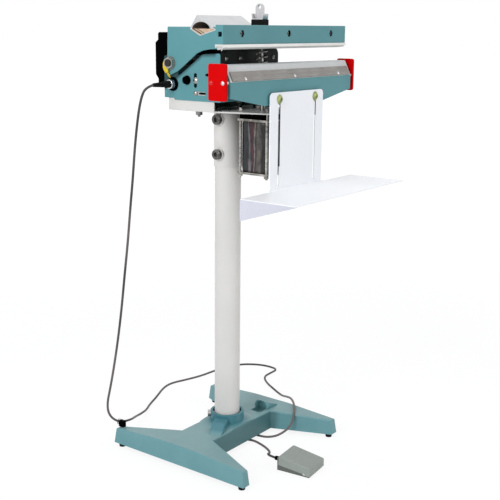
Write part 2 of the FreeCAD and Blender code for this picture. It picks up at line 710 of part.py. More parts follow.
def make_housing_fittings():
    x = HOUSING_HALF_X
    screws = []
    for s in (-1, 1):
        screws.append(pan_screw((s * x, LOW_SLOT_Y1 - 4.5, LOW_SLOT_Z), (s, 0, 0),
                                2.5, 9.0, 5.5, 3.2))
        screws.append(pan_screw((s * x, SIDE_SLOT_Y, FUSE_Z), (s, 0, 0), 2.5, 8.0,
                                SIDE_SCREW_HEAD_R, 3.2))
    nuts = []
    for s in (-1, 1):
        for y, z, wall in ((LOW_SLOT_Y1 - 4.5, LOW_SLOT_Z, TRAY_HALF_X - TRAY_FLANGE_T),
                           (SIDE_SLOT_Y, FUSE_Z, x - HOUSING_T)):
            nut = hexagon((s * wall, y, z), (-s, 0, 0), 9.0, 3.5)
            nuts.append(nut.cut(rod((s * (wall + 2), y, z), (-s, 0, 0), 2.5 + FIT, 12)))
    pin = fuse(rod((-x - 6, PIN_Y, PIN_Z), (1, 0, 0), 2.0, 10),
               rod((-x - 1.5, PIN_Y, PIN_Z), (1, 0, 0), 3.2, 1.5))
    return group(screws), group(nuts), pin


def make_fuse_holder():
    x = HOUSING_HALF_X
    flange = rod((-x - 2.0, FUSE_Y, FUSE_Z), (1, 0, 0), FUSE_R, 2.0)
    cap = rod((-x - 8.0, FUSE_Y, FUSE_Z), (1, 0, 0), FUSE_R - 2.0, 6.5)
    cap = cap.cut(box(-x - 9, -x - 6.8, FUSE_Y - 8, FUSE_Y + 8, FUSE_Z - 0.7, FUSE_Z + 0.7))
    barrel = rod((-x - 1, FUSE_Y, FUSE_Z), (1, 0, 0), FUSE_R - 1.5, 26.0)
    return fuse(flange, cap, barrel)


def make_socket():
    """Round cable connector: flange on the wall, chrome nut, and the cord's boot."""
    x = HOUSING_HALF_X
    flange = rod((-x - 3.0, SOCKET_Y, SOCKET_Z), (1, 0, 0), SOCKET_FLANGE_R, 3.0)
    barrel = rod((-x - 1, SOCKET_Y, SOCKET_Z), (1, 0, 0), SOCKET_NUT_R - 1.5, 18.0)
    thread = rod((-x - 10.0, SOCKET_Y, SOCKET_Z), (1, 0, 0), SOCKET_NUT_R - 2.5, 8.0)
    socket = fuse(flange, barrel, thread)
    ring = tube((-x - 15.0, SOCKET_Y, SOCKET_Z), (1, 0, 0), SOCKET_NUT_R,
                SOCKET_NUT_R - 2.5 + FIT, 12.0)
    tip = -x - 15.0
    boot = rod((-x - 22.0, SOCKET_Y, SOCKET_Z), (1, 0, 0), 8.0, 7.0)
    neck = Part.makeCone(6.5, 4.0, -BOOT_TIP_X - (x + 22.0), V(-x - 22.0, SOCKET_Y, SOCKET_Z),
                         V(-1, 0, 0))
    root = rod((tip - 1.0, SOCKET_Y, SOCKET_Z), (1, 0, 0), SOCKET_NUT_R - 2.6, 5.0)
    return socket, ring, fuse(boot, neck, root)


def make_pivot():
    reach = CHEEK_IN_X + CHEEK_T + JOINT_GAP + PIVOT_WASHER_T + PIVOT_NUT_H + 3.0
    shaft = rod((-reach, PIVOT_Y, PIVOT_Z), (1, 0, 0), PIVOT_R, 2 * reach)
    shaft = soften(shaft, 1.0, lambda e: abs(e.BoundBox.XMin) > reach - 0.1
                   and e.BoundBox.XLength < 0.01)
    nuts = []
    washers = []
    bushes = []
    for s in (-1, 1):
        w = s * (CHEEK_IN_X + CHEEK_T + JOINT_GAP)
        hole = rod((s * 90.0, PIVOT_Y, PIVOT_Z), (s, 0, 0), PIVOT_R + FIT, 60)
        washers.append(rod((w, PIVOT_Y, PIVOT_Z), (s, 0, 0), PIVOT_WASHER_R,
                           PIVOT_WASHER_T).cut(hole))
        nuts.append(hexagon((w + s * PIVOT_WASHER_T, PIVOT_Y, PIVOT_Z), (s, 0, 0),
                            2 * PIVOT_NUT_AF_R, PIVOT_NUT_H).cut(hole))
        gap = CHEEK_IN_X - HOUSING_HALF_X - JOINT_GAP
        bushes.append(rod((s * HOUSING_HALF_X, PIVOT_Y, PIVOT_Z), (s, 0, 0), 13.0,
                          gap).cut(hole))
    return shaft, group(nuts), group(washers), group(bushes)


def make_transformer():
    """Laminated core, copper winding under tape, two feet on the tray."""
    z0 = TRAY_BOTTOM_Z + TRAY_T
    core = box(-42, 42, 20, 62, z0 + 4, z0 + 70)
    core = core.cut(box(-28, -13, 15, 67, z0 + 18, z0 + 56))
    core = core.cut(box(13, 28, 15, 67, z0 + 18, z0 + 56))
    feet = box(-42, 42, 12, 70, z0, z0 + 4.0)
    core = fuse(core, feet)
    coil = box(-27.7, 27.7, 10, 72, z0 + 18.5, z0 + 55.5)
    coil = coil.cut(box(-13, 13, 20, 62, z0, z0 + 90))
    coil = soften(coil, 5.0, lambda e: abs(e.BoundBox.ZLength - 37.0) < 0.1
                  and abs(abs(e.BoundBox.XMin) - 27.7) < 0.1)
    return core, coil


def make_timer_board():
    z0 = TRAY_BOTTOM_Z + TRAY_T
    board = box(-60, 40, -52, -4, z0 + 8, z0 + 9.6)
    posts = [rod((px, py, z0), (0, 0, 1), 3.0, 8.5) for px in (-55, 35) for py in (-47, -9)]
    relay = box(-50, -24, -44, -28, z0 + 9.5, z0 + 26)
    block = box(5, 34, -44, -34, z0 + 9.5, z0 + 20)
    cap = rod((-5, -20, z0 + 9.5), (0, 0, 1), 6.0, 16.0)
    return fuse(board, relay, block, cap, *posts)


# %% Upper arm: bent shell, jaw bar, pad, control box
def arm_side():
    """Cheek outline in (Y, Z) with the jaw open."""
    rear = ARM_REAR_Y
    return [(rear + 1, 880.0), (78.0, 882.0), (56.0, 891.0), (27.6, 911.3), (0.0, 931.3),
            (-16.0, 937.3), (-35.6, 940.2), (-60.0, 941.0), (BAR_REAR_Y, BAR_BOTTOM_Z),
            (BAR_REAR_Y, ARM_TOP_Z), (rear - 1.5, ARM_TOP_Z - 1.0)]


def make_arm():
    side = arm_side()
    out = CHEEK_IN_X + CHEEK_T
    cheeks = []
    for s in (-1, 1):
        a, b = sorted((s * CHEEK_IN_X, s * out))
        cheeks.append(prism_x(side, a, b))
    roof = prism_x([(ARM_REAR_Y - 1.5, ARM_TOP_Z - 1.0), (BAR_REAR_Y, ARM_TOP_Z),
                    (BAR_REAR_Y, ARM_TOP_Z - CHEEK_T), (ARM_REAR_Y - 1.45, ARM_TOP_Z - 4.0)],
                   -out, out)
    nose = box(-out, out, BAR_REAR_Y, BAR_REAR_Y + CHEEK_T, BAR_BOTTOM_Z, ARM_TOP_Z)
    sill = box(-CHEEK_IN_X, CHEEK_IN_X, BAR_REAR_Y, BAR_REAR_Y + 18.0,
               BAR_BOTTOM_Z, BAR_BOTTOM_Z + CHEEK_T)
    arm = fuse(cheeks[0], cheeks[1], roof, nose, sill)
    arm = soften(arm, 2.5, lambda e: e.BoundBox.YLength > 100
                 and abs(abs(e.BoundBox.XMin) - out) < 0.1 and e.BoundBox.ZMin > ARM_TOP_Z - 2)
    arm = arm.cut(prism_x(list(BOX_END), -out - 1, BOX_RIGHT_X))
    arm = arm.cut(rod((-out - 1, PIVOT_Y, PIVOT_Z), (1, 0, 0), PIVOT_R + FIT, 2 * out + 2))
    arm = arm.cut(rod((0, ANCHOR_Y, ARM_TOP_Z - 10), (0, 0, 1), 4.0 + FIT, 20))
    arm = arm.cut(rod((BAR_SCREW_X[1], BAR_REAR_Y - 1, BAR_SCREW_Z), (0, 1, 0), M6_R + FIT, 20))
    return arm


def make_bar():
    """Hollow jaw bar: square tube with end walls, three recessed screws."""
    x = BAR_HALF_X
    w = BAR_WALL
    bar = box(-x, x, BAR_FRONT_Y, BAR_REAR_Y, BAR_BOTTOM_Z, BAR_TOP_Z)
    bar = soften(bar, 1.2, lambda e: e.BoundBox.XLength > 100)
    bar = bar.cut(box(-x + 3, x - 3, BAR_FRONT_Y + w, BAR_REAR_Y - w,
                      BAR_BOTTOM_Z + w, BAR_TOP_Z - w))
    mid = (BAR_FRONT_Y + BAR_REAR_Y) / 2.0 - 1.5
    h = BAR_HOLE / 2.0
    bar = bar.cut(box(-x - 1, x + 1, mid - h, mid + h, BAR_HOLE_Z - h, BAR_HOLE_Z + h))
    boss_len = (BAR_REAR_Y - BAR_FRONT_Y) - w - 6.5
    screws = []
    nuts = []
    for sx in BAR_SCREW_X:
        bar = bar.cut(rod((sx, BAR_FRONT_Y - 1, BAR_SCREW_Z), (0, 1, 0), BAR_RECESS_R, w + 2))
        boss = rod((sx, BAR_REAR_Y - w, BAR_SCREW_Z), (0, -1, 0), BAR_RECESS_R, boss_len - w)
        bar = fuse(bar, boss)
        bar = bar.cut(rod((sx, BAR_FRONT_Y + 3, BAR_SCREW_Z), (0, 1, 0), M6_R + FIT, 30))
        back = BAR_REAR_Y
        if abs(sx) < CHEEK_IN_X:
            back = BAR_REAR_Y + CHEEK_T
        head = BAR_REAR_Y - boss_len
        screws.append(socket_screw((sx, head, BAR_SCREW_Z), (0, -1, 0), M6_R,
                                   back + 6.0 - head, BAR_SCREW_R, 4.5))
        nut = hexagon((sx, back, BAR_SCREW_Z), (0, 1, 0), 10.0, 5.0)
        nuts.append(nut.cut(rod((sx, back - 1, BAR_SCREW_Z), (0, 1, 0), M6_R + FIT, 12)))
    return bar, group(screws), group(nuts)


def make_pad():
    """Aluminium holder under the bar and the silicone pad in its groove."""
    z1 = BAR_BOTTOM_Z
    z0 = z1 - HOLDER_H
    x = BAR_HALF_X
    holder = box(-x, x, HOLDER_FRONT_Y, HOLDER_REAR_Y, z0, z1)
    groove = box(-x - 1, x + 1, PAD_FRONT_Y, PAD_REAR_Y, z0 - 1, z0 + 2.5)
    holder = holder.cut(groove)
    holder = soften(holder, 0.8, lambda e: e.BoundBox.XLength > 100
                    and e.BoundBox.ZMax < z0 + 0.1)
    tilt = math.tan(math.radians(JAW_CLOSE_DEG))
    mid = (PAD_FRONT_Y + PAD_REAR_Y) / 2.0
    low = z0 - PAD_H
    pad = prism_x([(PAD_FRONT_Y, z0 + 2.5), (PAD_FRONT_Y, low - (PAD_FRONT_Y - mid) * tilt),
                   (PAD_REAR_Y, low - (PAD_REAR_Y - mid) * tilt), (PAD_REAR_Y, z0 + 2.5)],
                  -x + 2, x - 2)
    return holder, pad


def make_control_box():
    """Folded stainless box sunk askew into the arm, open at its left end."""
    left = -(CHEEK_IN_X + CHEEK_T)
    outer = prism_x(list(BOX_END), left, BOX_RIGHT_X)
    ring = list(BOX_END)
    core = inset(ring[::-1], BOX_WALL)
    inner = prism_x(core, left - 1.0, BOX_RIGHT_X - BOX_WALL)
    return outer.cut(inner)


def make_anchor():
    """On the arm's roof: rubber buffer, folded bracket, eye lug and its bolt."""
    x = ANCHOR_X / 2.0
    y0 = ANCHOR_Y - ANCHOR_LEN / 2.0
    y1 = ANCHOR_Y + ANCHOR_LEN / 2.0
    z0 = ARM_TOP_Z
    buffer = box(-x, x, y0, y1, z0, z0 + BUFFER_H)
    buffer = soften(buffer, 2.0, lambda e: e.BoundBox.ZLength > 5)
    zb = z0 + BUFFER_H
    channel = prism_x(plate_of([(y0 + 1.0, zb + BRACKET_H), (y0 + 3.0, zb), (y1 - 3.0, zb),
                                (y1 - 1.0, zb + BRACKET_H)], BRACKET_T), -x + 0.5, x - 0.5)
    half = LUG_W / 2.0
    zc = LUG_TOP_Z - half
    lug = fuse(box(-LUG_T / 2, LUG_T / 2, ANCHOR_Y - half, ANCHOR_Y + half, zb + BRACKET_T, zc),
               rod((-LUG_T / 2, ANCHOR_Y, zc), (1, 0, 0), half, LUG_T))
    lug = lug.cut(rod((-LUG_T, ANCHOR_Y, zc + 2.5), (1, 0, 0), LUG_HOLE_R, 2 * LUG_T))
    stem = rod((0, ANCHOR_Y, z0 - CHEEK_T - 1.0), (0, 0, 1), 4.0, zb - z0 + CHEEK_T + 1.5)
    hole = rod((0, ANCHOR_Y, z0 - 10), (0, 0, 1), 4.0 + FIT, BUFFER_H + 10)
    lug_eye = fuse(channel, lug, stem)
    buffer = buffer.cut(hole)
    ceiling = ARM_TOP_Z - CHEEK_T
    top = ceiling - 0.45
    ear = LINK_T / 2.0 + 0.5
    clevis = box(-12, 12, ANCHOR_Y - 11, ANCHOR_Y + 11, LINK_TOP_Z - 9.0, top)
    clevis = clevis.cut(box(-ear, ear, ANCHOR_Y - 20, ANCHOR_Y + 20, 900,
                            LINK_TOP_Z + LINK_W / 2 + 1.5))
    clevis = clevis.cut(rod((0, ANCHOR_Y, top - 8), (0, 0, 1), 4.0 + FIT, 20))
    clevis = clevis.cut(rod((-20, ANCHOR_Y, LINK_TOP_Z), (1, 0, 0), LINK_PIN_R + FIT, 40))
    pin = rod((-14, ANCHOR_Y, LINK_TOP_Z), (1, 0, 0), LINK_PIN_R, 28)
    return buffer, lug_eye, clevis, pin


# %% Pull link, plunger and the return spring
def make_link():
    """Flat bar with two eyes, leaning back a little while the jaw is open."""
    dy = ANCHOR_Y - PLUNGER_Y
    dz = LINK_TOP_Z - PLUNGER_PIN_Z
    length = math.hypot(dy, dz)
    t = LINK_T / 2.0
    r = LINK_W / 2.0
    bar = fuse(box(-t, t, -5.0, 5.0, 0, length), rod((-t, 0, 0), (1, 0, 0), r, LINK_T),
               rod((-t, 0, length), (1, 0, 0), r, LINK_T))
    bar = bar.cut(rod((-10, 0, length), (1, 0, 0), LINK_PIN_R + FIT, 20))
    lean = -math.degrees(math.atan2(dy, dz))
    bar.Placement = FreeCAD.Placement(V(0, PLUNGER_Y, PLUNGER_PIN_Z),
                                      FreeCAD.Rotation(V(1, 0, 0), lean))
    pin = rod((-12, PLUNGER_Y, PLUNGER_PIN_Z), (1, 0, 0), LINK_PIN_R - 0.6, 24)
    return fuse(bar, pin)


def make_plunger():
    core = rod((0, PLUNGER_Y, PLUNGER_BOTTOM_Z), (0, 0, 1), PLUNGER_R,
               PLUNGER_TOP_Z - PLUNGER_BOTTOM_Z)
    core = soften(core, 1.5, lambda e: e.BoundBox.ZLength < 0.01)
    neck = rod((0, PLUNGER_Y, PLUNGER_TOP_Z - 2), (0, 0, 1), ROD_R,
               PLUNGER_PIN_Z - FORK_R - 4 - PLUNGER_TOP_Z + 4)
    fork = box(-FORK_HALF_X, FORK_HALF_X, PLUNGER_Y - FORK_R, PLUNGER_Y + FORK_R,
               PLUNGER_PIN_Z - FORK_R - 4, PLUNGER_PIN_Z)
    fork = fuse(fork, rod((-FORK_HALF_X, PLUNGER_Y, PLUNGER_PIN_Z), (1, 0, 0), FORK_R,
                          2 * FORK_HALF_X))
    ear = LINK_T / 2.0 + 0.5
    fork = fork.cut(box(-ear, ear, PLUNGER_Y - 20, PLUNGER_Y + 20,
                        PLUNGER_PIN_Z - FORK_R - 0.8, PLUNGER_PIN_Z + 30))
    body = fuse(core, neck, fork)
    return body.cut(rod((-20, PLUNGER_Y, PLUNGER_PIN_Z), (1, 0, 0), LINK_PIN_R + FIT, 40))


def make_spring():
    """Compression spring between the seat plate and the clevis on the arm."""
    z0 = SEAT_Z + SPRING_WIRE_R
    z1 = LINK_TOP_Z - 9.0 - SPRING_WIRE_R
    yc = (ANCHOR_Y + PLUNGER_Y) / 2.0
    r = SPRING_R - SPRING_WIRE_R
    steps = SPRING_TURNS * SPRING_STEPS
    path = []
    for i in range(steps + 1):
        a = 2.0 * math.pi * i / SPRING_STEPS
        path.append(V(r * math.cos(a), yc + r * math.sin(a), z0 + (z1 - z0) * i / steps))
    wire = cord_wire(path)[0]
    ring = Part.Wire([Part.makeCircle(SPRING_WIRE_R, path[0], path[1] - path[0])])
    return wire.makePipeShell([ring], True, False)


def make_jaw_bracket():
    """Welded bracket from the housing to the lower jaw; its shelf seats the spring."""
    y0 = JAW_REAR_Y
    y1 = HOUSING_FRONT_Y - PANEL_T
    top = box(-60, 60, y0, y1, SEAT_Z - SEAT_T, SEAT_Z)
    parts = [top]
    for s in (-1, 1):
        a, b = sorted((s * 60.0, s * 56.0))
        parts.append(prism_x([(y0, SEAT_Z), (y0, 851.0), (y1, 841.0), (y1, SEAT_Z)], a, b))
    parts.append(box(-60, 60, y0, y0 + 3, 853.0, SEAT_Z))
    parts.append(box(-60, 60, y1 - 3, y1, 845.0, SEAT_Z))
    bracket = fuse(*parts)
    bracket = bracket.cut(box(-7, 7, PLUNGER_Y - 10, PLUNGER_Y + 12, 860, 900))
    bolts = []
    nuts = []
    for px in (-BRACKET_BOLT_X, BRACKET_BOLT_X):
        for pz in BRACKET_BOLT_ZS:
            bracket = bracket.cut(rod((px, y1 - 10, pz), (0, 1, 0), 2.5 + FIT, 20))
            bolts.append(pan_screw((px, y1 - 3, pz), (0, -1, 0), 2.5, 3 + PANEL_T + HOUSING_T + 5,
                                   4.5, 2.8))
            nut = hexagon((px, HOUSING_FRONT_Y + HOUSING_T, pz), (0, 1, 0), 8.0, 3.5)
            nuts.append(nut.cut(rod((px, HOUSING_FRONT_Y, pz), (0, 1, 0), 2.5 + FIT, 12)))
        bracket = bracket.cut(rod((px, y0 - 1, JAW_BOLT_Z), (0, 1, 0), 2.5 + FIT, 5))
        bolts.append(pan_screw((px, y0 + 3, JAW_BOLT_Z), (0, 1, 0), 2.5, 3 + JAW_T + 5, 4.5, 2.8))
        nut = hexagon((px, y0 - JAW_T, JAW_BOLT_Z), (0, -1, 0), 8.0, 3.5)
        nuts.append(nut.cut(rod((px, y0, JAW_BOLT_Z), (0, -1, 0), 2.5 + FIT, 12)))
    return bracket, group(bolts), group(nuts)


# %% Lower jaw
def slope_dir():
    """Unit vector down the jaw's slanted front, and its outward normal, in (Y, Z)."""
    dy = JAW_FRONT_Y - JAW_LIP_Y
    dz = JAW_KNEE_Z - JAW_TOP_Z
    n = math.hypot(dy, dz)
    return (dy / n, dz / n), (dz / n, -dy / n)


def on_slope(along, out):
    """Point on the slanted front: distance down from the lip, height above the face."""
    (uy, uz), (ny, nz) = slope_dir()
    return (JAW_LIP_Y + uy * along + ny * out, JAW_TOP_Z + uz * along + nz * out)


def make_jaw():
    line = [(JAW_REAR_Y, JAW_REAR_BOTTOM_Z), (JAW_REAR_Y, JAW_TOP_Z), (JAW_LIP_Y, JAW_TOP_Z),
            (JAW_FRONT_Y, JAW_KNEE_Z), (JAW_FRONT_Y, APRON_LOW_Z)]
    x = JAW_HALF_X
    jaw = prism_x(plate_of(line, JAW_T), -x, x)
    ends = []
    solid = [(JAW_REAR_Y, JAW_REAR_BOTTOM_Z), (JAW_REAR_Y, JAW_TOP_Z), (JAW_LIP_Y, JAW_TOP_Z),
             (JAW_FRONT_Y, JAW_KNEE_Z), (JAW_FRONT_Y, APRON_END_Z)]
    for s in (-1, 1):
        a, b = sorted((s * x, s * (x - JAW_T)))
        ends.append(prism_x(solid, a, b))
    jaw = fuse(jaw, *ends)
    for s in (-1, 1):
        wedge = prism_y([(s * APRON_FLAT_X, APRON_LOW_Z), (s * (x + 5), APRON_END_Z + 0.7),
                         (s * (x + 5), APRON_LOW_Z - 5), (s * APRON_FLAT_X, APRON_LOW_Z - 5)],
                        JAW_FRONT_Y - 5, JAW_REAR_Y - 10)
        jaw = jaw.cut(wedge)
    (uy, uz), (ny, nz) = slope_dir()
    for sx in STRIP_SCREW_X:
        y, z = on_slope(strip_screw_at(), 10.0)
        jaw = jaw.cut(rod((sx, y, z), (0, -ny, -nz), 2.0 + FIT, 20))
    for cy, cz in CAP_SCREWS:
        jaw = jaw.cut(rod((-x - 5, cy, cz), (1, 0, 0), 2.5 + FIT, 2 * x + 10))
    for px in (-BRACKET_BOLT_X, BRACKET_BOLT_X):
        jaw = jaw.cut(rod((px, JAW_REAR_Y - 5, JAW_BOLT_Z), (0, 1, 0), 2.5 + FIT, 8))
    for s in (-1, 1):
        jaw = jaw.cut(rod((s * SHELF_SLOT_X, JAW_FRONT_Y - 2, SHELF_SCREW_Z), (0, 1, 0),
                          SHELF_SCREW_R + FIT, 8))
    return jaw.removeSplitter()


def strip_screw_at():
    return (STRIP_SPAN[0] + STRIP_SPAN[1]) / 2.0 + 6.0


def make_jaw_layers():
    x = JAW_HALF_X
    z1 = JAW_TOP_Z + INSULATION_T
    insulation = box(-x, x, JAW_LIP_Y + 4.0, JAW_REAR_Y - 2.0, JAW_TOP_Z, z1)
    ribbon = box(-x, x, RIBBON_Y - RIBBON_W / 2, RIBBON_Y + RIBBON_W / 2, z1, z1 + RIBBON_T)
    zc = z1 + RIBBON_T
    (uy, uz), (ny, nz) = slope_dir()
    k = (zc - JAW_TOP_Z) / uz
    lip = (JAW_LIP_Y + uy * k, zc)
    end = on_slope(STRIP_SPAN[1] + 1.0, 0.0)
    line = [(JAW_REAR_Y - 1.5, zc), lip, end]
    cloth = prism_x(plate_of(line, -CLOTH_T), -x, x)
    cloth = soften(cloth, 4.0, lambda e: e.BoundBox.XLength < 0.01
                   and abs(e.BoundBox.ZMin - zc) < 0.1 and e.BoundBox.ZLength < 1.0
                   and e.BoundBox.YMax > JAW_REAR_Y - 2.0 and e.BoundBox.YLength < 0.01)
    a, b = STRIP_SPAN
    m = (a + b) / 2.0
    sect = [on_slope(a, CLOTH_T), on_slope(b, CLOTH_T), on_slope(b, CLOTH_T + STRIP_T),
            on_slope(m + 0.6, CLOTH_T + STRIP_T), on_slope(m, CLOTH_T + STRIP_T - 0.7),
            on_slope(a, CLOTH_T + STRIP_T - 0.7)]
    strip = prism_x(sect, -STRIP_HALF_X, STRIP_HALF_X)
    screws = []
    out = CLOTH_T + STRIP_T
    for sx in STRIP_SCREW_X:
        y, z = on_slope(strip_screw_at(), 10.0)
        hole = rod((sx, y, z), (0, -ny, -nz), 2.0 + FIT, 20)
        cloth = cloth.cut(hole)
        strip = strip.cut(hole)
        y, z = on_slope(strip_screw_at(), out)
        screws.append(pan_screw((sx, y, z), (0, ny, nz), 2.0, out + JAW_T + 1.0, 3.6, 1.5))
    return insulation, ribbon, cloth, strip, group(screws)


def make_caps():
    """Red guard plates that stand off the two jaw ends on spacers."""
    x0 = CAP_X0
    caps = []
    spacers = []
    screws = []
    for s in (-1, 1):
        a, b = sorted((s * x0, s * (x0 + CAP_T)))
        cap = box(a, b, CAP_FRONT_Y, CAP_REAR_Y, CAP_Z0, CAP_Z1)
        cap = soften(cap, CAP_CORNER_R, lambda e: e.BoundBox.XLength > CAP_T - 0.1)
        cap = soften(cap, 1.0, lambda e: e.BoundBox.XLength < 0.01
                     and abs(abs(e.BoundBox.XMin) - x0 - CAP_T) < 0.01)
        for cy, cz in CAP_SCREWS:
            hole = rod((s * 200, cy, cz), (s, 0, 0), 2.5 + FIT, 60)
            cap = cap.cut(hole)
            spacers.append(rod((s * JAW_HALF_X, cy, cz), (s, 0, 0), SPACER_R,
                               x0 - JAW_HALF_X).cut(hole))
            screws.append(pan_screw((s * (x0 + CAP_T), cy, cz), (s, 0, 0), 2.5,
                                    CAP_T + x0 - JAW_HALF_X + JAW_T + 3.0, 4.5, 2.8))
        caps.append(cap)
    return caps[0], caps[1], group(spacers), group(screws)


# %% Product shelf
def make_shelf():
    x = SHELF_PLATE_HALF_X
    y0 = SHELF_PLATE_Y - SHELF_PLATE_T
    plate = box(-x, x, y0, SHELF_PLATE_Y, SHELF_TOP_Z - SHELF_SHEET_T - 45.0,
                SHELF_PLATE_TOP_Z)
    plate = soften(plate, 10.0, lambda e: abs(e.BoundBox.YLength - SHELF_PLATE_T) < 0.01)
    for s in (-1, 1):
        plate = plate.cut(slot_y(s * SHELF_SLOT_X, SHELF_SLOT_Z0,
                                 SHELF_SCREW_Z + SHELF_SLOT_W / 2, SHELF_SLOT_W,
                                 y0 - 1, SHELF_PLATE_Y + 1))
    z1 = SHELF_TOP_Z
    z0 = z1 - SHELF_SHEET_T
    sheet = box(-SHELF_HALF_X, SHELF_HALF_X, SHELF_FRONT_Y, y0, z0, z1)
    hems = [box(-SHELF_HALF_X, SHELF_HALF_X, SHELF_FRONT_Y, SHELF_FRONT_Y + SHELF_SHEET_T,
                z0 - SHELF_HEM + SHELF_SHEET_T, z1)]
    for s in (-1, 1):
        a, b = sorted((s * SHELF_HALF_X, s * (SHELF_HALF_X - SHELF_SHEET_T)))
        hems.append(box(a, b, SHELF_FRONT_Y, y0, z0 - SHELF_HEM + SHELF_SHEET_T, z1))
    flange = box(-x + 10, x - 10, y0 - SHELF_SHEET_T, y0, z0 - 40.0, z1)
    sheet = fuse(sheet, flange, *hems)
    sheet = soften(sheet, 1.5, lambda e: abs(e.BoundBox.ZMin - z1) < 0.01
                   and e.BoundBox.ZLength < 0.01 and e.BoundBox.YMin < y0 - 1.0)
    rivets = []
    for sx in (-60.0, 60.0):
        hole = rod((sx, y0 - 20, z0 - 20), (0, 1, 0), 2.5 + FIT, 40)
        sheet = sheet.cut(hole)
        plate = plate.cut(hole)
        rivets.append(pan_screw((sx, y0 - SHELF_SHEET_T, z0 - 20), (0, -1, 0), 2.5,
                                SHELF_SHEET_T + SHELF_PLATE_T + 1.5, 4.5, 2.5))
    screws = []
    spacers = []
    for s in (-1, 1):
        sx = s * SHELF_SLOT_X
        head = y0 - JOINT_GAP
        screws.append(pan_screw((sx, head, SHELF_SCREW_Z), (0, -1, 0), SHELF_SCREW_R,
                                JAW_FRONT_Y + JAW_T + 6.0 - head, SHELF_HEAD_R, SHELF_HEAD_H))
        gap = JAW_FRONT_Y - SHELF_PLATE_Y - JOINT_GAP
        spacers.append(tube((sx, JAW_FRONT_Y - gap, SHELF_SCREW_Z), (0, 1, 0), 8.0,
                            SHELF_SCREW_R + FIT, gap))
    return plate, sheet, group(rivets), group(screws), group(spacers)


# %% Magnet under the tongue
def make_magnet():
    x = MAGNET_HALF_X
    yc = PLUNGER_Y
    t = MAGNET_PLATE_T
    plates = [box(-x, x, MAGNET_Y0, MAGNET_Y1, MAGNET_TOP_Z - t, MAGNET_TOP_Z),
              box(-x, x, MAGNET_Y0, MAGNET_Y1, MAGNET_BOTTOM_Z, MAGNET_BOTTOM_Z + t)]
    plates = [soften(p, 3.0, lambda e: e.BoundBox.ZLength > 4) for p in plates]
    plates[0] = plates[0].cut(rod((0, yc, MAGNET_TOP_Z - 20), (0, 0, 1), COIL_BORE_R, 40))
    z0 = MAGNET_BOTTOM_Z + t
    z1 = MAGNET_TOP_Z - t
    coil = box(-COIL_HALF_X, COIL_HALF_X, yc - COIL_HALF_Y, yc + COIL_HALF_Y, z0 + 3, z1 - 3)
    coil = soften(coil, COIL_CORNER_R, lambda e: e.BoundBox.ZLength > 50)
    for z in (z0, z1 - 3):
        cheek = box(-COIL_HALF_X - 1, COIL_HALF_X + 1, yc - COIL_HALF_Y - 1,
                    yc + COIL_HALF_Y + 1, z, z + 3)
        coil = coil.fuse(soften(cheek, COIL_CORNER_R, lambda e: e.BoundBox.ZLength > 2))
    coil = coil.cut(rod((0, yc, z0 - 1), (0, 0, 1), COIL_BORE_R, 200)).removeSplitter()
    stop = fuse(rod((0, yc, z0), (0, 0, 1), COIL_BORE_R - FIT, 3.5),
                rod((0, yc, z0 + 3), (0, 0, 1), 8.0, 1.0))
    spacer = box(-x + 2, x - 2, MAGNET_Y0 + 4, MAGNET_Y1 - 4, MAGNET_TOP_Z, TRAY_BOTTOM_Z)
    spacer = soften(spacer, 4.0, lambda e: e.BoundBox.ZLength > 5)
    spacer = spacer.cut(rod((0, yc, MAGNET_TOP_Z - 1), (0, 0, 1), COIL_BORE_R, 40))
    rods = []
    nuts = []
    for sx in (-1, 1):
        for sy in (-1, 1):
            px, py = sx * MAGNET_ROD_X, yc + sy * MAGNET_ROD_Y
            hole = rod((px, py, 600), (0, 0, 1), MAGNET_ROD_R + FIT, 300)
            plates = [p.cut(hole) for p in plates]
            spacer = spacer.cut(hole)
            top = TRAY_BOTTOM_Z + TRAY_T + 6.0
            rods.append(rod((px, py, MAGNET_BOTTOM_Z - 8), (0, 0, 1), MAGNET_ROD_R,
                            top - MAGNET_BOTTOM_Z + 8))
            for z in (MAGNET_BOTTOM_Z - 5, TRAY_BOTTOM_Z + TRAY_T):
                nuts.append(hexagon((px, py, z), (0, 0, 1), 10.0, 5.0).cut(hole))
    return group(plates), coil, stop, spacer, group(rods), group(nuts)


def magnet_rod_holes(shape):
    for sx in (-1, 1):
        for sy in (-1, 1):
            shape = shape.cut(rod((sx * MAGNET_ROD_X, PLUNGER_Y + sy * MAGNET_ROD_Y, 790),
                                  (0, 0, 1), MAGNET_ROD_R + FIT, 40))
    return shape


# %% Foot switch
def turn_switch(shape):
    shape = shape.copy()
    shape.Placement = FreeCAD.Placement(
        V(SWITCH_X, SWITCH_Y, 0), FreeCAD.Rotation(V(0, 0, 1), SWITCH_TURN))
    return shape


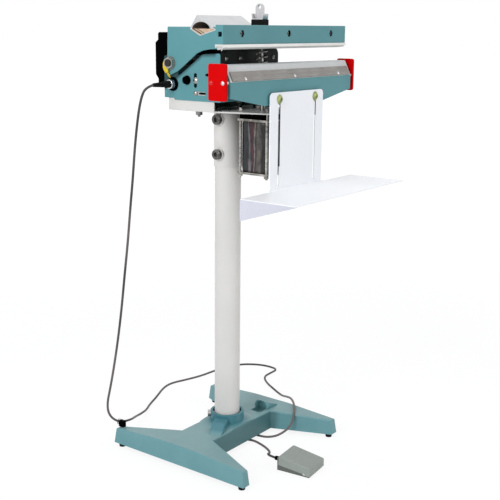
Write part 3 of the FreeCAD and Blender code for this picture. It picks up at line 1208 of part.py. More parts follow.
def make_switch():
    w = SWITCH_W / 2.0
    h = SWITCH_L / 2.0
    t = SWITCH_T
    base = box(-w + 3.2, w - 3.2, -h + 3.2, h, 0, SWITCH_BASE_Z)
    base = base.cut(box(-w + 3.2 + t, w - 3.2 - t, -h + 3.2 + t, h - t, t, 50))
    wall = box(-w + 3.2, w - 3.2, h - t - 1.5, h, 0, SWITCH_REAR_Z - 6.0)
    ears = []
    for s in (-1, 1):
        a, b = sorted((s * (w - 3.2), s * (w - 3.2 - t)))
        ears.append(prism_x([(SWITCH_PIN_Y - 6, 2), (SWITCH_PIN_Y - 4, SWITCH_BASE_Z + 3),
                             (SWITCH_PIN_Y + 4, SWITCH_BASE_Z + 3), (SWITCH_PIN_Y + 6, 2)], a, b))
    base = fuse(base, wall, *ears)
    gland_x = -w + 10.0
    gland_z = SWITCH_REAR_Z - 11.0
    base = base.cut(rod((gland_x, h - 10, gland_z), (0, 1, 0), 3.5 + FIT, 20))
    pin_hole = rod((-w - 5, SWITCH_PIN_Y, SWITCH_PIN_Z), (1, 0, 0), SWITCH_PIN_R + FIT, 2 * w + 10)
    base = base.cut(pin_hole)
    lid = prism_x([(-h, 4.0), (-h, SWITCH_FRONT_Z - 3), (-h + 3, SWITCH_FRONT_Z),
                   (h - 12, SWITCH_REAR_Z), (h - 5.0, SWITCH_REAR_Z - 1.0),
                   (h - 4.6, 14.0), (-h + 22, 8.0), (-h + 14, 4.0)], -w, w)
    lid = soften(lid, 3.0, lambda e: e.BoundBox.ZMin > SWITCH_FRONT_Z - 4
                 and e.BoundBox.YLength > 20)
    room = prism_x([(-h + t, 0.0), (-h + t, SWITCH_FRONT_Z - 3 - t), (-h + 3 + t, SWITCH_FRONT_Z - t),
                    (h - 12, SWITCH_REAR_Z - t), (h - 5.0 - t, SWITCH_REAR_Z - t - 1),
                    (h - 4.6 - t, 0.0)], -w + t, w - t)
    lid = lid.cut(room)
    lid = lid.cut(pin_hole)
    pin = rod((-w - 1.0, SWITCH_PIN_Y, SWITCH_PIN_Z), (1, 0, 0), SWITCH_PIN_R, 2 * w + 2.0)
    micro = fuse(box(-14, 14, 8, 19, t, 17.0), rod((8, 13.5, 16.5), (0, 0, 1), 2.0, 3.0))
    gland = fuse(rod((gland_x, h, gland_z), (0, 1, 0), 5.0, GLAND_LENGTH),
                 rod((gland_x, h - 4, gland_z), (0, 1, 0), 3.5, 5.0))
    out = [turn_switch(s) for s in (base, lid, pin, micro, gland)]
    tip = turn_switch(Part.Vertex(V(gland_x, h + GLAND_LENGTH + 0.6, gland_z))).Point
    return out, tip


# %% Cord from the connector, down to the base, over the floor to the foot switch
def cord_points(tip):
    r = CORD_D / 2.0
    low = r + 0.15
    hang = [V(BOOT_TIP_X, SOCKET_Y, SOCKET_Z), V(BOOT_TIP_X - 22, 74, SOCKET_Z - 4.5),
            V(-199, 80, 838), V(-198, 91, 800), V(-196, 104, 732), V(-195, 113, 660),
            V(-194, 124, 588), V(-193, 134, 514), V(-192, 147, 437), V(-190, 160, 360),
            V(-187, 176, 284), V(-184, 195, 207), V(-182, 212, 145), V(-182, 226, 96),
            V(-182, 219, 68), V(CLIP_X, 196, 54)]
    floor = [V(-136, 192, 50), V(-82, 228, 31), V(-40, 251, 18), V(5, 273, 8), V(46, 299, 4),
             V(98, 322, low), V(160, 353, low), V(201, 360, low), V(243, 346, low),
             V(295, 331, low), V(352, 327, low), V(404, 319, low), V(449, 298, low),
             V(476, 260, low), V(484, 225, low), V(478, 188, low), V(441, 187, low),
             V(405, 184, low), V(372, 152, low), V(341, 101, low), V(303, 50, 10),
             V(264, 8, 30), V(222, -36, 50), V(178, -76, 58), V(134, -106, 56),
             V(112, -113, 30), V(92, -90, 6), V(70, -68, low), V(66, -38, low),
             V(62, -2, low), V(28, 14, low), V(6, -14, low), V(40, -44, low),
             V(25, -97, low), V(-3, -134, 8)]
    end = [V(tip.x + 2.0, tip.y + 27.0, tip.z - 1.0), V(tip.x, tip.y, tip.z)]
    return hang + floor + end


def cord_wire(points):
    """Straight runs joined by arcs that touch both neighbours."""
    edges = []
    at = points[0]
    radii = []
    bends = []
    for i in range(1, len(points) - 1):
        p = points[i]
        before = points[i - 1] - p
        after = points[i + 1] - p
        run = min(before.Length, after.Length)
        u = V(before).normalize()
        w = V(after).normalize()
        half = (math.pi - u.getAngle(w)) / 2.0
        cut_back = 0.45 * run
        a = p + u * cut_back
        b = p + w * cut_back
        radius = cut_back / math.tan(half)
        radii.append(radius)
        mid_dir = (u + w).normalize()
        centre_dist = math.hypot(cut_back, radius)
        m = p + mid_dir * (centre_dist - radius)
        bends.append((m, (w - u).normalize()))
        edges.append(Part.LineSegment(at, a).toShape())
        edges.append(Part.Arc(a, m, b).toShape())
        at = b
    edges.append(Part.LineSegment(at, points[-1]).toShape())
    return Part.Wire(edges), radii, bends


def make_cord(tip):
    points = cord_points(tip)
    wire, radii, bends = cord_wire(points)
    start = points[0]
    along = (points[1] - points[0]).normalize()
    ring = Part.Wire([Part.makeCircle(CORD_D / 2.0, start, along)])
    cord = wire.makePipeShell([ring], True, False)
    turns = []
    for i in range(1, len(points) - 1):
        a = points[i] - points[i - 1]
        b = points[i + 1] - points[i]
        turns.append(math.degrees(a.getAngle(b)))
    print("cord length", round(wire.Length, 1), "least radius", round(min(radii), 1),
          "at point", radii.index(min(radii)) + 1, "most turn", round(max(turns), 1))
    print("cord volume", round(cord.Volume), "section x length",
          round(math.pi * CORD_D ** 2 / 4 * wire.Length))
    runs = [(points[i + 1] - points[i]).Length for i in range(len(points) - 1)]
    for i, run in enumerate(runs):
        near = [runs[j] for j in (i - 1, i + 1) if 0 <= j < len(runs)]
        if run > 82.5 or run > 2.0 * min(near) + 0.5:
            print("cord run", i, round(run, 1), [round(n, 1) for n in near])
    for i, radius in enumerate(radii):
        if radius < 16.5:
            print("cord radius", i + 1, round(radius, 1), round(turns[i], 1))
    return cord, bends[CLIP_BEND]


def make_clip(bend, base):
    """Clip on the toe: black block screwed down, bright ring square to the cord's bend."""
    middle, along = bend
    start = middle - along * (CLIP_RING_LENGTH / 2.0)
    ring = tube(start, along, CLIP_RING_R, CLIP_RING_R - CLIP_RING_WALL, CLIP_RING_LENGTH)
    block = box(CLIP_X - 5.0, CLIP_X + 5.0, CLIP_Y - 16.0, middle.y - CLIP_RING_R + 1.6,
                TOE_TOP_Z + 1.1, CLIP_TOP_Z)
    seat = rod(start - along * 10.0, along, CLIP_RING_R + 0.05, CLIP_RING_LENGTH + 20.0)
    return cut(block, seat, base), ring


def main():
    os.makedirs(OUT, exist_ok=True)
    base, set_bolt = make_base()
    feet = make_feet()
    pipe, sleeve, column_bolts = make_column()
    tray, tray_bolts, tray_nuts, tray_screws = make_tray()
    tray = magnet_rod_holes(tray)
    housing = panel_holes(make_housing())
    panel, panel_screws = make_front_panel()
    cover, cover_screws = make_rear_cover()
    housing_screws, housing_nuts, housing_pin = make_housing_fittings()
    socket, socket_ring, boot = make_socket()
    shaft, pivot_nuts, washers, bushes = make_pivot()
    transformer, winding = make_transformer()
    bar, bar_screws, bar_nuts = make_bar()
    holder, pad = make_pad()
    buffer, lug_eye, clevis, clevis_pin = make_anchor()
    link = make_link()
    bracket, bracket_bolts, bracket_nuts = make_jaw_bracket()
    insulation, ribbon, cloth, strip, strip_screws = make_jaw_layers()
    cap_l, cap_r, cap_spacers, cap_screws = make_caps()
    plate, sheet, rivets, shelf_screws, shelf_spacers = make_shelf()
    plates, coil, stop, spacer, rods, rod_nuts = make_magnet()
    (sw_base, sw_lid, sw_pin, sw_micro, sw_gland), tip = make_switch()

    save("base_casting", base)
    save("base_set_bolt", set_bolt)
    save("rubber_feet", feet)
    save("column_tube", pipe)
    save("column_sleeve", sleeve)
    save("column_bolts", column_bolts)
    save("tray_plate", tray)
    save("tray_fasteners", group(tray_bolts.Solids + tray_nuts.Solids + tray_screws.Solids))
    save("lower_housing", housing)
    save("front_panel", panel)
    save("rear_cover", cover)
    save("housing_screws", group(housing_screws.Solids + housing_nuts.Solids
                                 + panel_screws.Solids + cover_screws.Solids))
    save("housing_pin", housing_pin)
    save("fuse_holder", make_fuse_holder())
    save("cable_socket", socket)
    save("socket_ring", socket_ring)
    save("cable_boot", boot)
    save("pivot_shaft", shaft)
    save("pivot_nuts", group(pivot_nuts.Solids + washers.Solids + bushes.Solids))
    save("transformer", group([transformer, winding]))
    save("timer_board", make_timer_board())
    save("arm_shell", make_arm())
    save("upper_jaw_bar", bar)
    save("bar_screws", group(bar_screws.Solids + bar_nuts.Solids))
    save("pad_holder", holder)
    save("silicone_pad", pad)
    save("control_box", make_control_box())
    save("anchor_buffer", buffer)
    save("anchor_eye", lug_eye)
    save("anchor_clevis", group([clevis]))
    save("clevis_pin", clevis_pin)
    save("pull_link", link)
    save("plunger", make_plunger())
    save("return_spring", make_spring())
    save("jaw_bracket", bracket)
    save("bracket_bolts", group(bracket_bolts.Solids + bracket_nuts.Solids))
    save("lower_jaw", make_jaw())
    save("insulating_strip", insulation)
    save("heating_ribbon", ribbon)
    save("ptfe_cloth", cloth)
    save("press_strip", strip)
    save("press_strip_screws", strip_screws)
    save("end_cap_left", cap_l)
    save("end_cap_right", cap_r)
    save("end_cap_screws", group(cap_screws.Solids + cap_spacers.Solids))
    save("shelf_plate", group([plate]))
    save("shelf_sheet", sheet)
    save("shelf_rivets", rivets)
    save("shelf_screws", group(shelf_screws.Solids + shelf_spacers.Solids))
    save("magnet_plates", group(plates.Solids + [stop]))
    save("magnet_coil", coil)
    save("magnet_spacer", spacer)
    save("magnet_rods", group(rods.Solids + rod_nuts.Solids))
    save("switch_base", sw_base)
    save("switch_lid", sw_lid)
    save("switch_pin", sw_pin)
    save("switch_micro", group([sw_micro, sw_gland]))
    cord, bend = make_cord(tip)
    save("cable", cord)
    clip_block, clip_ring = make_clip(bend, base)
    save("cable_clip", clip_block)
    save("clip_ring", clip_ring)


main()
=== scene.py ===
# %% [markdown]
# A freestanding impulse sealer: cast base, column, tray, hinged sealing head,
# magnet, product shelf and a foot switch on a cord. The solids come packed from
# the CAD. This lesson dresses them: camera and cord first, then finishes, then
# the pieces whose surface needs more than a solid, and last the studio.

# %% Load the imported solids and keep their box
import math

import bmesh
import bpy
import numpy as np
from mathutils import Matrix, Vector


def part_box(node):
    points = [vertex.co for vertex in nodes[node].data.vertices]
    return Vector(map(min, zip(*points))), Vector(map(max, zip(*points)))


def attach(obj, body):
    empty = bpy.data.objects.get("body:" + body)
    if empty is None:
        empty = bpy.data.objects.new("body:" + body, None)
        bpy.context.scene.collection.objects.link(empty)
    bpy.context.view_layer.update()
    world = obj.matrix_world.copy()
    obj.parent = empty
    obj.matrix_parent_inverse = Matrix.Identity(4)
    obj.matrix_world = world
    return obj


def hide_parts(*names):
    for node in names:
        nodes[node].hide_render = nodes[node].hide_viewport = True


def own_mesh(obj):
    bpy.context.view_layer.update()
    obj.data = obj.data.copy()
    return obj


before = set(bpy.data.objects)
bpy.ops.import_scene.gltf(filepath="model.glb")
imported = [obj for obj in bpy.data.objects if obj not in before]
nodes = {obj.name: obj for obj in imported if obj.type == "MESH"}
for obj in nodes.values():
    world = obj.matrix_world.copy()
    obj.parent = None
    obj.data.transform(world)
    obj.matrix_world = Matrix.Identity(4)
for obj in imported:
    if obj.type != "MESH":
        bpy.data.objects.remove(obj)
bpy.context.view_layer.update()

# %% [markdown]
# The camera stands where the photographer stood. Its place, turn and lens were
# found by matching known corners of the machine, so here they are plain numbers.
# A Blender camera looks down its own -Z, so the matrix columns are right, up and
# minus the viewing direction.

# %% Camera
IMAGE_PX = 500
FOCAL_PX = 960.33
SENSOR_MM = 36.0
TURN, DIP, ROLL = math.radians(-53.155), math.radians(13.187), math.radians(0.525)
EYE = Vector((-1.71457, -1.34965, 0.99084))

forward = Vector((-math.sin(TURN) * math.cos(DIP), math.cos(TURN) * math.cos(DIP),
                  -math.sin(DIP)))
flat_right = Vector((math.cos(TURN), math.sin(TURN), 0.0))
flat_up = flat_right.cross(forward)
right = flat_right * math.cos(ROLL) + flat_up * math.sin(ROLL)
up = flat_up * math.cos(ROLL) - flat_right * math.sin(ROLL)

camera_data = bpy.data.cameras.new("camera")
camera_data.sensor_width = SENSOR_MM
camera_data.sensor_fit = "HORIZONTAL"
camera_data.lens = FOCAL_PX / IMAGE_PX * SENSOR_MM
camera_data.clip_end = 50.0
camera = bpy.data.objects.new("camera", camera_data)
bpy.context.scene.collection.objects.link(camera)
turn_matrix = Matrix((right, up, -forward)).transposed().to_4x4()
camera.matrix_world = Matrix.Translation(EYE) @ turn_matrix
bpy.context.scene.camera = camera
print("camera at", [round(v, 3) for v in EYE], "lens", round(camera_data.lens, 2), "mm")

# %% [markdown]
# The cord runs from the connector's boot down behind the rear toe, through its
# clip, over the floor round the back, over the right beam and under the web to
# the foot switch. A NURBS curve takes the route's points as its control points
# and stays smooth between them, as a rubber sheath does. The bevel is one unit and
# every point's radius is the cord's own, because a curve's box grows by that radius.

# %% Route of the cord
CORD_D = 0.0055
LOW = 0.0029  # height of the cord's middle where it lies on the floor
BOOT_TIP = (-0.170, 0.0726, 0.863)
GLAND_TIP = (-0.04713, -0.17861, 0.025)
CORD_ROUTE = [
    BOOT_TIP, (-0.192, 0.074, 0.8585), (-0.199, 0.080, 0.838), (-0.198, 0.091, 0.800),
    (-0.196, 0.104, 0.732), (-0.195, 0.113, 0.660), (-0.194, 0.124, 0.588),
    (-0.193, 0.134, 0.514), (-0.192, 0.147, 0.437), (-0.190, 0.160, 0.360),
    (-0.187, 0.176, 0.284), (-0.184, 0.195, 0.207), (-0.182, 0.212, 0.145),
    (-0.182, 0.226, 0.096), (-0.182, 0.219, 0.068), (-0.172, 0.196, 0.054),
    (-0.136, 0.192, 0.050), (-0.082, 0.228, 0.031), (-0.040, 0.251, 0.018),
    (0.005, 0.273, 0.008), (0.046, 0.299, 0.004), (0.098, 0.322, LOW), (0.160, 0.353, LOW),
    (0.201, 0.360, LOW), (0.243, 0.346, LOW), (0.295, 0.331, LOW), (0.352, 0.327, LOW),
    (0.404, 0.319, LOW), (0.449, 0.298, LOW), (0.476, 0.260, LOW), (0.484, 0.225, LOW),
    (0.478, 0.188, LOW), (0.441, 0.187, LOW), (0.405, 0.184, LOW), (0.372, 0.152, LOW),
    (0.341, 0.101, LOW), (0.303, 0.050, 0.010), (0.264, 0.008, 0.030),
    (0.222, -0.036, 0.050), (0.178, -0.076, 0.058), (0.134, -0.106, 0.056),
    (0.112, -0.113, 0.030), (0.092, -0.090, 0.006), (0.070, -0.068, LOW),
    (0.066, -0.038, LOW), (0.062, -0.002, LOW), (0.028, 0.014, LOW), (0.006, -0.014, LOW),
    (0.040, -0.044, LOW), (0.025, -0.097, LOW), (-0.003, -0.134, 0.008),
    (GLAND_TIP[0] + 0.002, GLAND_TIP[1] + 0.027, GLAND_TIP[2] - 0.001), GLAND_TIP]
print("cord route:", len(CORD_ROUTE), "points")

# %% Curve of the cord
cord_curve = bpy.data.curves.new("cord", "CURVE")
cord_curve.dimensions = "3D"
cord_curve.bevel_depth = 1.0
cord_curve.bevel_resolution = 5
cord_curve.resolution_u = 12
cord_curve.use_fill_caps = True
spline = cord_curve.splines.new("NURBS")
spline.points.add(len(CORD_ROUTE) - 1)
for point, place in zip(spline.points, CORD_ROUTE):
    point.co = (*place, 1.0)
    point.radius = CORD_D / 2
spline.order_u = 3
spline.use_endpoint_u = True
cord = bpy.data.objects.new("cord", cord_curve)
bpy.context.scene.collection.objects.link(cord)
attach(cord, "stand")
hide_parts("cable")
print("cord:", len(spline.points), "control points,", CORD_D * 1000, "mm thick")

# %% [markdown]
# A finish is a small network of nodes. It could be wired by hand in the editor, but
# sums and products are easier to read, so a value from a node is wrapped in a class
# that knows +, -, * and **, and each operator adds the Math node it stands for.
# Colours are given as a screen shows them and turned linear first.

# %% Shader values
def srgb(r, g, b):
    """Screen colour from 0 to 255 as the linear colour that shaders use."""
    def lin(v):
        v = v / 255.0
        return v / 12.92 if v <= 0.04045 else ((v + 0.055) / 1.055) ** 2.4
    return (lin(r), lin(g), lin(b), 1.0)


class Val:
    """One output socket that can be added, scaled and compared."""

    def __init__(self, finish, socket):
        self.finish, self.socket = finish, socket

    def math(self, operation, *others):
        return self.finish.node("ShaderNodeMath", {"operation": operation},
                                dict(enumerate((self,) + others)))

    def __add__(self, o):
        return self.math("ADD", o)

    def __mul__(self, o):
        return self.math("MULTIPLY", o)

    def __sub__(self, o):
        return self.math("SUBTRACT", o)

    def __pow__(self, o):
        return self.math("POWER", o)

    def behind(self, operation, first):
        return self.finish.node("ShaderNodeMath", {"operation": operation},
                                {0: first, 1: self})

    def __rsub__(self, o):
        return self.behind("SUBTRACT", o)

    def __rpow__(self, o):
        return self.behind("POWER", o)

    __radd__, __rmul__ = __add__, __mul__

    def over(self, edge):
        return self.math("GREATER_THAN", edge)

    def sine(self):
        return self.math("SINE")

    def size(self):
        return self.math("ABSOLUTE")


# %% [markdown]
# Every finish drives the same few inputs of one Principled shader: colour, roughness,
# metal and the bump of its normal. One class makes the material and adds its nodes, so
# each finish below is only its recipe. Positions are the object's own, so a pattern
# stays on its piece when the piece moves. Colours go through Mix, because a Math node
# would turn them grey.

# %% Materials from nodes
BSDF_INPUTS = {"color": "Base Color", "rough": "Roughness", "metal": "Metallic"}


class Finish:
    """A material whose nodes are added by one method."""

    def __init__(self, name, color, rough, metal=0.0, **fixed):
        self.mat = bpy.data.materials.new(name)
        self.mat.use_nodes = True
        self.tree = self.mat.node_tree
        self.bsdf = self.tree.nodes["Principled BSDF"]
        for key, value in (("color", color), ("rough", rough), ("metal", metal)):
            self.bsdf.inputs[BSDF_INPUTS[key]].default_value = value
        for key, value in fixed.items():
            self.bsdf.inputs[key.replace("_", " ")].default_value = value
        self.where = self.node("ShaderNodeTexCoord", out="Object")

    def node(self, kind, settings=None, inputs=None, out=0):
        made = self.tree.nodes.new(kind)
        for key, value in (settings or {}).items():
            setattr(made, key, value)
        for key, value in (inputs or {}).items():
            if isinstance(value, Val):
                self.tree.links.new(value.socket, made.inputs[key])
            else:
                made.inputs[key].default_value = value
        return Val(self, made.outputs[out])

    def noise(self, scale, detail=2.0, rough=0.5, at=None):
        return self.node("ShaderNodeTexNoise", {},
                         {"Vector": at or self.where, "Scale": scale, "Detail": detail,
                          "Roughness": rough}, out="Fac")

    def stretch(self, x, y, z):
        return self.node("ShaderNodeMapping", {},
                         {"Vector": self.where, "Scale": (x, y, z)}, out="Vector")

    def axes(self, at=None):
        parts = self.node("ShaderNodeSeparateXYZ", {}, {0: at or self.where})
        outs = parts.socket.node.outputs
        return Val(self, outs[0]), Val(self, outs[1]), Val(self, outs[2])

    def between(self, value, low, high, to_low=0.0, to_high=1.0):
        return self.node("ShaderNodeMapRange", {"clamp": True},
                         {0: value, 1: low, 2: high, 3: to_low, 4: to_high})

    def blend(self, mask, first, second):
        made = self.tree.nodes.new("ShaderNodeMix")
        made.data_type = "RGBA"
        for index, value in ((0, mask), (6, first), (7, second)):
            if isinstance(value, Val):
                self.tree.links.new(value.socket, made.inputs[index])
            else:
                made.inputs[index].default_value = value
        return Val(self, made.outputs[2])

    def set(self, key, value):
        self.tree.links.new(value.socket, self.bsdf.inputs[BSDF_INPUTS[key]])

    def bump(self, height, strength, distance=0.001):
        lit = self.node("ShaderNodeBump", {}, {"Height": height, "Strength": strength,
                                               "Distance": distance}, out="Normal")
        self.tree.links.new(lit.socket, self.bsdf.inputs["Normal"])


# %% [markdown]
# Most of this machine is painted sheet. A photo's texture would repeat and stretch, so
# all paints share one recipe instead: two close tones mixed by a slow noise, a
# roughness that wanders a little, and an orange-peel bump. A casting's bump is coarser,
# because sand leaves its skin under the enamel.

# %% Paints
TEAL = srgb(93, 146, 151), srgb(88, 141, 146)
COLUMN_TONES = srgb(214, 211, 206), srgb(209, 206, 201)
SOFT_EDGE = 0.35, 0.65  # where a noise passes from one tone to the other
MOTTLE = 7.0  # patches per metre
PEEL_DEPTH = 0.0004
WHITE_GRAIN, COLUMN_GRAIN = 1500.0, 1100.0  # how fine the orange peel is


def mottled(f, tone, other):
    """Two tones mixed by a slow noise."""
    return f.blend(f.between(f.noise(MOTTLE, 3.0), *SOFT_EDGE), tone, other)


def enamel(f, rough, peel_scale, peel):
    """Roughness that wanders between rough - 0.05 and rough + 0.07, and a fine bump."""
    f.set("rough", f.between(f.noise(38.0, 4.0), 0.3, 0.7, rough - 0.05, rough + 0.07))
    f.bump(f.noise(peel_scale, 3.0), peel, PEEL_DEPTH)
    return f.mat


def paint(name, tone, other, rough, peel_scale, peel, gloss=0.2):
    f = Finish(name, tone, rough, Specular_IOR_Level=gloss)
    f.set("color", mottled(f, tone, other))
    return enamel(f, rough, peel_scale, peel)


teal_sheet = paint("teal enamel", *TEAL, 0.38, 900.0, 0.10)
column_coat = paint("pale column paint", *COLUMN_TONES, 0.34, COLUMN_GRAIN, 0.08, gloss=0.35)
red_enamel = paint("red enamel", srgb(206, 2, 4), srgb(198, 1, 3), 0.36, 900.0, 0.08,
                   gloss=0.05)
black_coat = paint("black paint", srgb(14, 15, 16), srgb(20, 21, 22), 0.40, 1100.0, 0.12,
                   gloss=0.12)
print("materials so far:", len(bpy.data.materials))

# %% [markdown]
# Bare metals take their look from fine marks in one direction. Modelled scratches would
# cost thousands of faces, so a noise does it: squeezed across the rolling direction and
# drawn out along it, it gives brushed sheet, and turned parts use finer, rounder marks.

# %% Metals
def brushed(name, tone, other, rough, squeeze, metal=1.0, depth=0.12):
    f = Finish(name, tone, rough, metal)
    marks = f.noise(1.0, 4.0, 0.6, at=f.stretch(*squeeze))
    stain = f.noise(26.0, 3.0)
    f.set("color", f.blend(f.between(marks * 0.6 + stain * 0.4, *SOFT_EDGE), tone, other))
    f.set("rough", f.between(marks, 0.3, 0.7, rough - 0.07, rough + 0.10))
    f.bump(marks, depth, 0.0002)
    return f.mat


strip_steel = brushed("worn strip steel", srgb(150, 147, 143), srgb(126, 123, 119), 0.42,
                      (40.0, 900.0, 900.0), metal=0.75)
stainless = brushed("brushed stainless", srgb(214, 215, 216), srgb(198, 199, 201), 0.34,
                    (30.0, 1400.0, 1400.0), metal=0.85)
turned_steel = brushed("turned steel", srgb(176, 174, 170), srgb(138, 136, 132), 0.30,
                       (900.0, 900.0, 900.0))
# The magnet's plate steel: its strong light and dark streaks are painted reflections.
magnet_steel = brushed("plate steel with painted reflections", srgb(204, 201, 195), srgb(104, 100, 95), 0.22,
                       (50.0, 50.0, 120.0), metal=0.8)
old_steel = brushed("blackened steel", srgb(46, 44, 42), srgb(24, 23, 22), 0.5,
                    (600.0, 600.0, 600.0), metal=0.5)
aluminium = brushed("milled aluminium", srgb(222, 222, 220), srgb(206, 206, 204), 0.38,
                    (25.0, 1100.0, 1100.0), metal=0.8)
dark_steel = brushed("oiled steel", srgb(140, 138, 136), srgb(46, 45, 44), 0.34,
                     (210.0, 210.0, 210.0), metal=0.9)
chrome = brushed("bright plate", srgb(214, 214, 216), srgb(190, 190, 193), 0.16,
                 (700.0, 700.0, 700.0), depth=0.05)
nichrome = brushed("resistance ribbon", srgb(150, 138, 124), srgb(118, 106, 96), 0.40,
                   (60.0, 1500.0, 1500.0))


def passivated(name):
    """Yellow zinc: a thin film whose colour drifts from straw to green."""
    f = Finish(name, srgb(160, 166, 110), 0.32, 0.6)
    drift = f.noise(90.0, 2.0)
    f.set("color", f.blend(f.between(drift, 0.38, 0.62), srgb(172, 176, 116),
                           srgb(128, 142, 86)))
    f.set("rough", f.between(f.noise(500.0), 0.3, 0.7, 0.26, 0.42))
    f.bump(f.noise(1400.0), 0.06, 0.0002)
    return f.mat


yellow_zinc = passivated("yellow zinc")
print("materials so far:", len(bpy.data.materials))

# %% [markdown]
# Mouldings and rubbers have a fine grain instead of orange peel, and they are darker in
# the hollows of that grain. One noise drives both the tone and the bump, so that the
# dark spots and the hollows fall together.

# %% Plastics and rubber
def moulded(name, tone, other, rough, grain=700.0, depth=0.25, gloss=0.3):
    f = Finish(name, tone, rough, Specular_IOR_Level=gloss)
    skin = f.noise(grain, 4.0, 0.6)
    f.set("color", f.blend(f.between(skin, 0.3, 0.7), other, tone))
    f.set("rough", f.between(f.noise(60.0, 3.0), 0.3, 0.7, rough - 0.06, rough + 0.08))
    f.bump(skin, depth, 0.0003)
    return f.mat


black_moulding = moulded("black moulding", srgb(2, 2, 3), srgb(1, 1, 2), 0.55, gloss=0.01)
black_rubber = moulded("black rubber", srgb(20, 20, 20), srgb(12, 12, 12), 0.62, 500.0,
                       gloss=0.08)
grey_moulding = moulded("grey moulding", srgb(152, 158, 151), srgb(143, 149, 142), 0.50, 520.0,
                        0.35)
dark_grey_moulding = moulded("dark grey moulding", srgb(104, 108, 102), srgb(94, 98, 92), 0.55,
                             520.0, 0.35)
silicone = moulded("silicone", srgb(194, 196, 192), srgb(184, 186, 182), 0.50, 260.0, 0.15)
phenolic = moulded("phenolic sheet", srgb(176, 138, 108), srgb(158, 120, 92), 0.50, 300.0, 0.2)
circuit_board = moulded("solder resist", srgb(12, 40, 26), srgb(8, 30, 20), 0.45, 400.0, 0.2,
                        gloss=0.1)


def sheath(name):
    """Cord sheath whose grey wanders along its length between dark and worn."""
    f = Finish(name, srgb(84, 82, 81), 0.48, Specular_IOR_Level=0.25)
    worn = f.between(f.noise(6.0, 2.0), 0.40, 0.62)
    f.set("color", f.blend(worn, srgb(64, 63, 63), srgb(104, 97, 95)))
    f.set("rough", f.between(f.noise(60.0, 3.0), 0.3, 0.7, 0.42, 0.56))
    f.bump(f.noise(900.0, 4.0), 0.15, 0.0003)
    return f.mat


cord_skin = sheath("cord sheath")
print("materials so far:", len(bpy.data.materials))

# %% [markdown]
# Two soft-looking surfaces need a pattern of their own. The release cloth is woven, and two
# crossed sine waves give its threads. The winding is wrapped in film with upright creases; the
# light they catch is painted as upright bands of reflection and highlight that run down it, and
# a noise bends them.

# %% Cloth and winding
THREADS = 5200.0  # radians of the weave's wave per metre


def glass_cloth(name):
    """Coated glass cloth: two square waves of threads crossed at right angles."""
    f = Finish(name, srgb(228, 228, 224), 0.42)
    x, y, z = f.axes()
    warp = (x * THREADS).sine()
    weft = ((y + z) * THREADS).sine()
    weave = warp * weft
    f.set("color", f.blend(f.between(weave * 0.3 + f.noise(30.0, 3.0), 0.2, 0.9),
                           srgb(196, 197, 196), srgb(206, 207, 206)))
    f.set("rough", f.between(weave, -1.0, 1.0, 0.38, 0.50))
    f.bump(weave, 0.10, 0.0002)
    return f.mat


def wound_coil(name):
    """Dark film over the winding, with painted reflections. u is the distance to the right as
    seen from the front left; a wandering noise bends the upright bands of painted highlight and
    tinted reflection along it."""
    f = Finish(name, srgb(24, 21, 21), 0.2, Specular_IOR_Level=0.35)
    x, y, z = f.axes()
    drift = f.noise(1.0, 3.0, at=f.stretch(70.0, 70.0, 16.0))
    u = x * 600.0 - (y + 0.0955) * 800.0 + (drift - 0.5) * 16.0
    mottle = f.between(f.noise(1.0, 4.0, 0.6, at=f.stretch(160.0, 160.0, 30.0)), 0.3, 0.7)
    patch = f.between(f.noise(1.0, 4.0, 0.7, at=f.stretch(120.0, 120.0, 60.0)), 0.36, 0.62)
    tone = f.blend(mottle, srgb(12, 10, 11), srgb(42, 42, 43))
    # Painted reflections: each band is a fixed streak of highlight or tinted reflection,
    # blue-grey, grey, reddish and bright, set across the view.
    for centre, half, strength, colour in ((-35.0, 7.0, 0.5, srgb(50, 58, 62)),
                                           (-7.5, 9.0, 0.85, srgb(108, 102, 95)),
                                           (-22.5, 5.0, 0.8, srgb(84, 44, 52)),
                                           (-18.5, 2.2, 0.7, srgb(170, 160, 158)),
                                           (-28.0, 2.0, 0.6, srgb(140, 134, 138)),
                                           (28.0, 9.0, 0.5, srgb(84, 60, 58))):
        near = f.between((u - centre).size(), half, half * 0.2, 0.0, strength)
        tone = f.blend(near * (patch * 0.75 + 0.25), tone, colour)
    f.set("color", tone)
    f.set("rough", f.between(drift, 0.3, 0.7, 0.34, 0.18))
    f.bump(mottle + (z * 2600.0).sine() * 0.05, 0.35, 0.0006)
    return f.mat


cloth_finish = glass_cloth("coated glass cloth")
coil_finish = wound_coil("varnished winding")
print("materials so far:", len(bpy.data.materials))

# %% [markdown]
# Some finishes change with the place on the piece. The housing carries painted shadow right
# under the arm's edge, and the casting has painted light on its tops and painted shade deep in
# its corners. A mask painted in an image would need an unwrap; a few comparisons of the object's
# own x, y and z do the same and stay sharp.

# %% Housing and base
WALL_X = 0.1035  # beyond this |x| the housing's side walls begin
SHADOW_BAND_HEIGHT = 0.009


def shaded_housing(name, tone, other):
    """Enamel with painted shadow, a soft dark band along the upper edge of both side walls under
    the arm's cheek: the edge's height there is the lower of two lines, z1(y) and z2(y)."""
    f = Finish(name, tone, 0.38, Specular_IOR_Level=0.2)
    x, y, z = f.axes()
    edge = (0.927 - (y + 0.008) * 0.692).math("MINIMUM", 0.9296 - (y + 0.017) * 0.048)
    # Painted shadow of the arm's cheek: darkest at the wall's upper edge, gone 9 mm below it.
    band = f.between(edge - z, SHADOW_BAND_HEIGHT, 0.0005, 0.0, 0.8) * x.size().over(WALL_X)
    band = band * f.between(y, -0.052, -0.045)
    f.set("color", f.blend(band, mottled(f, tone, other), srgb(4, 16, 20)))
    return enamel(f, 0.38, 900.0, 0.10)


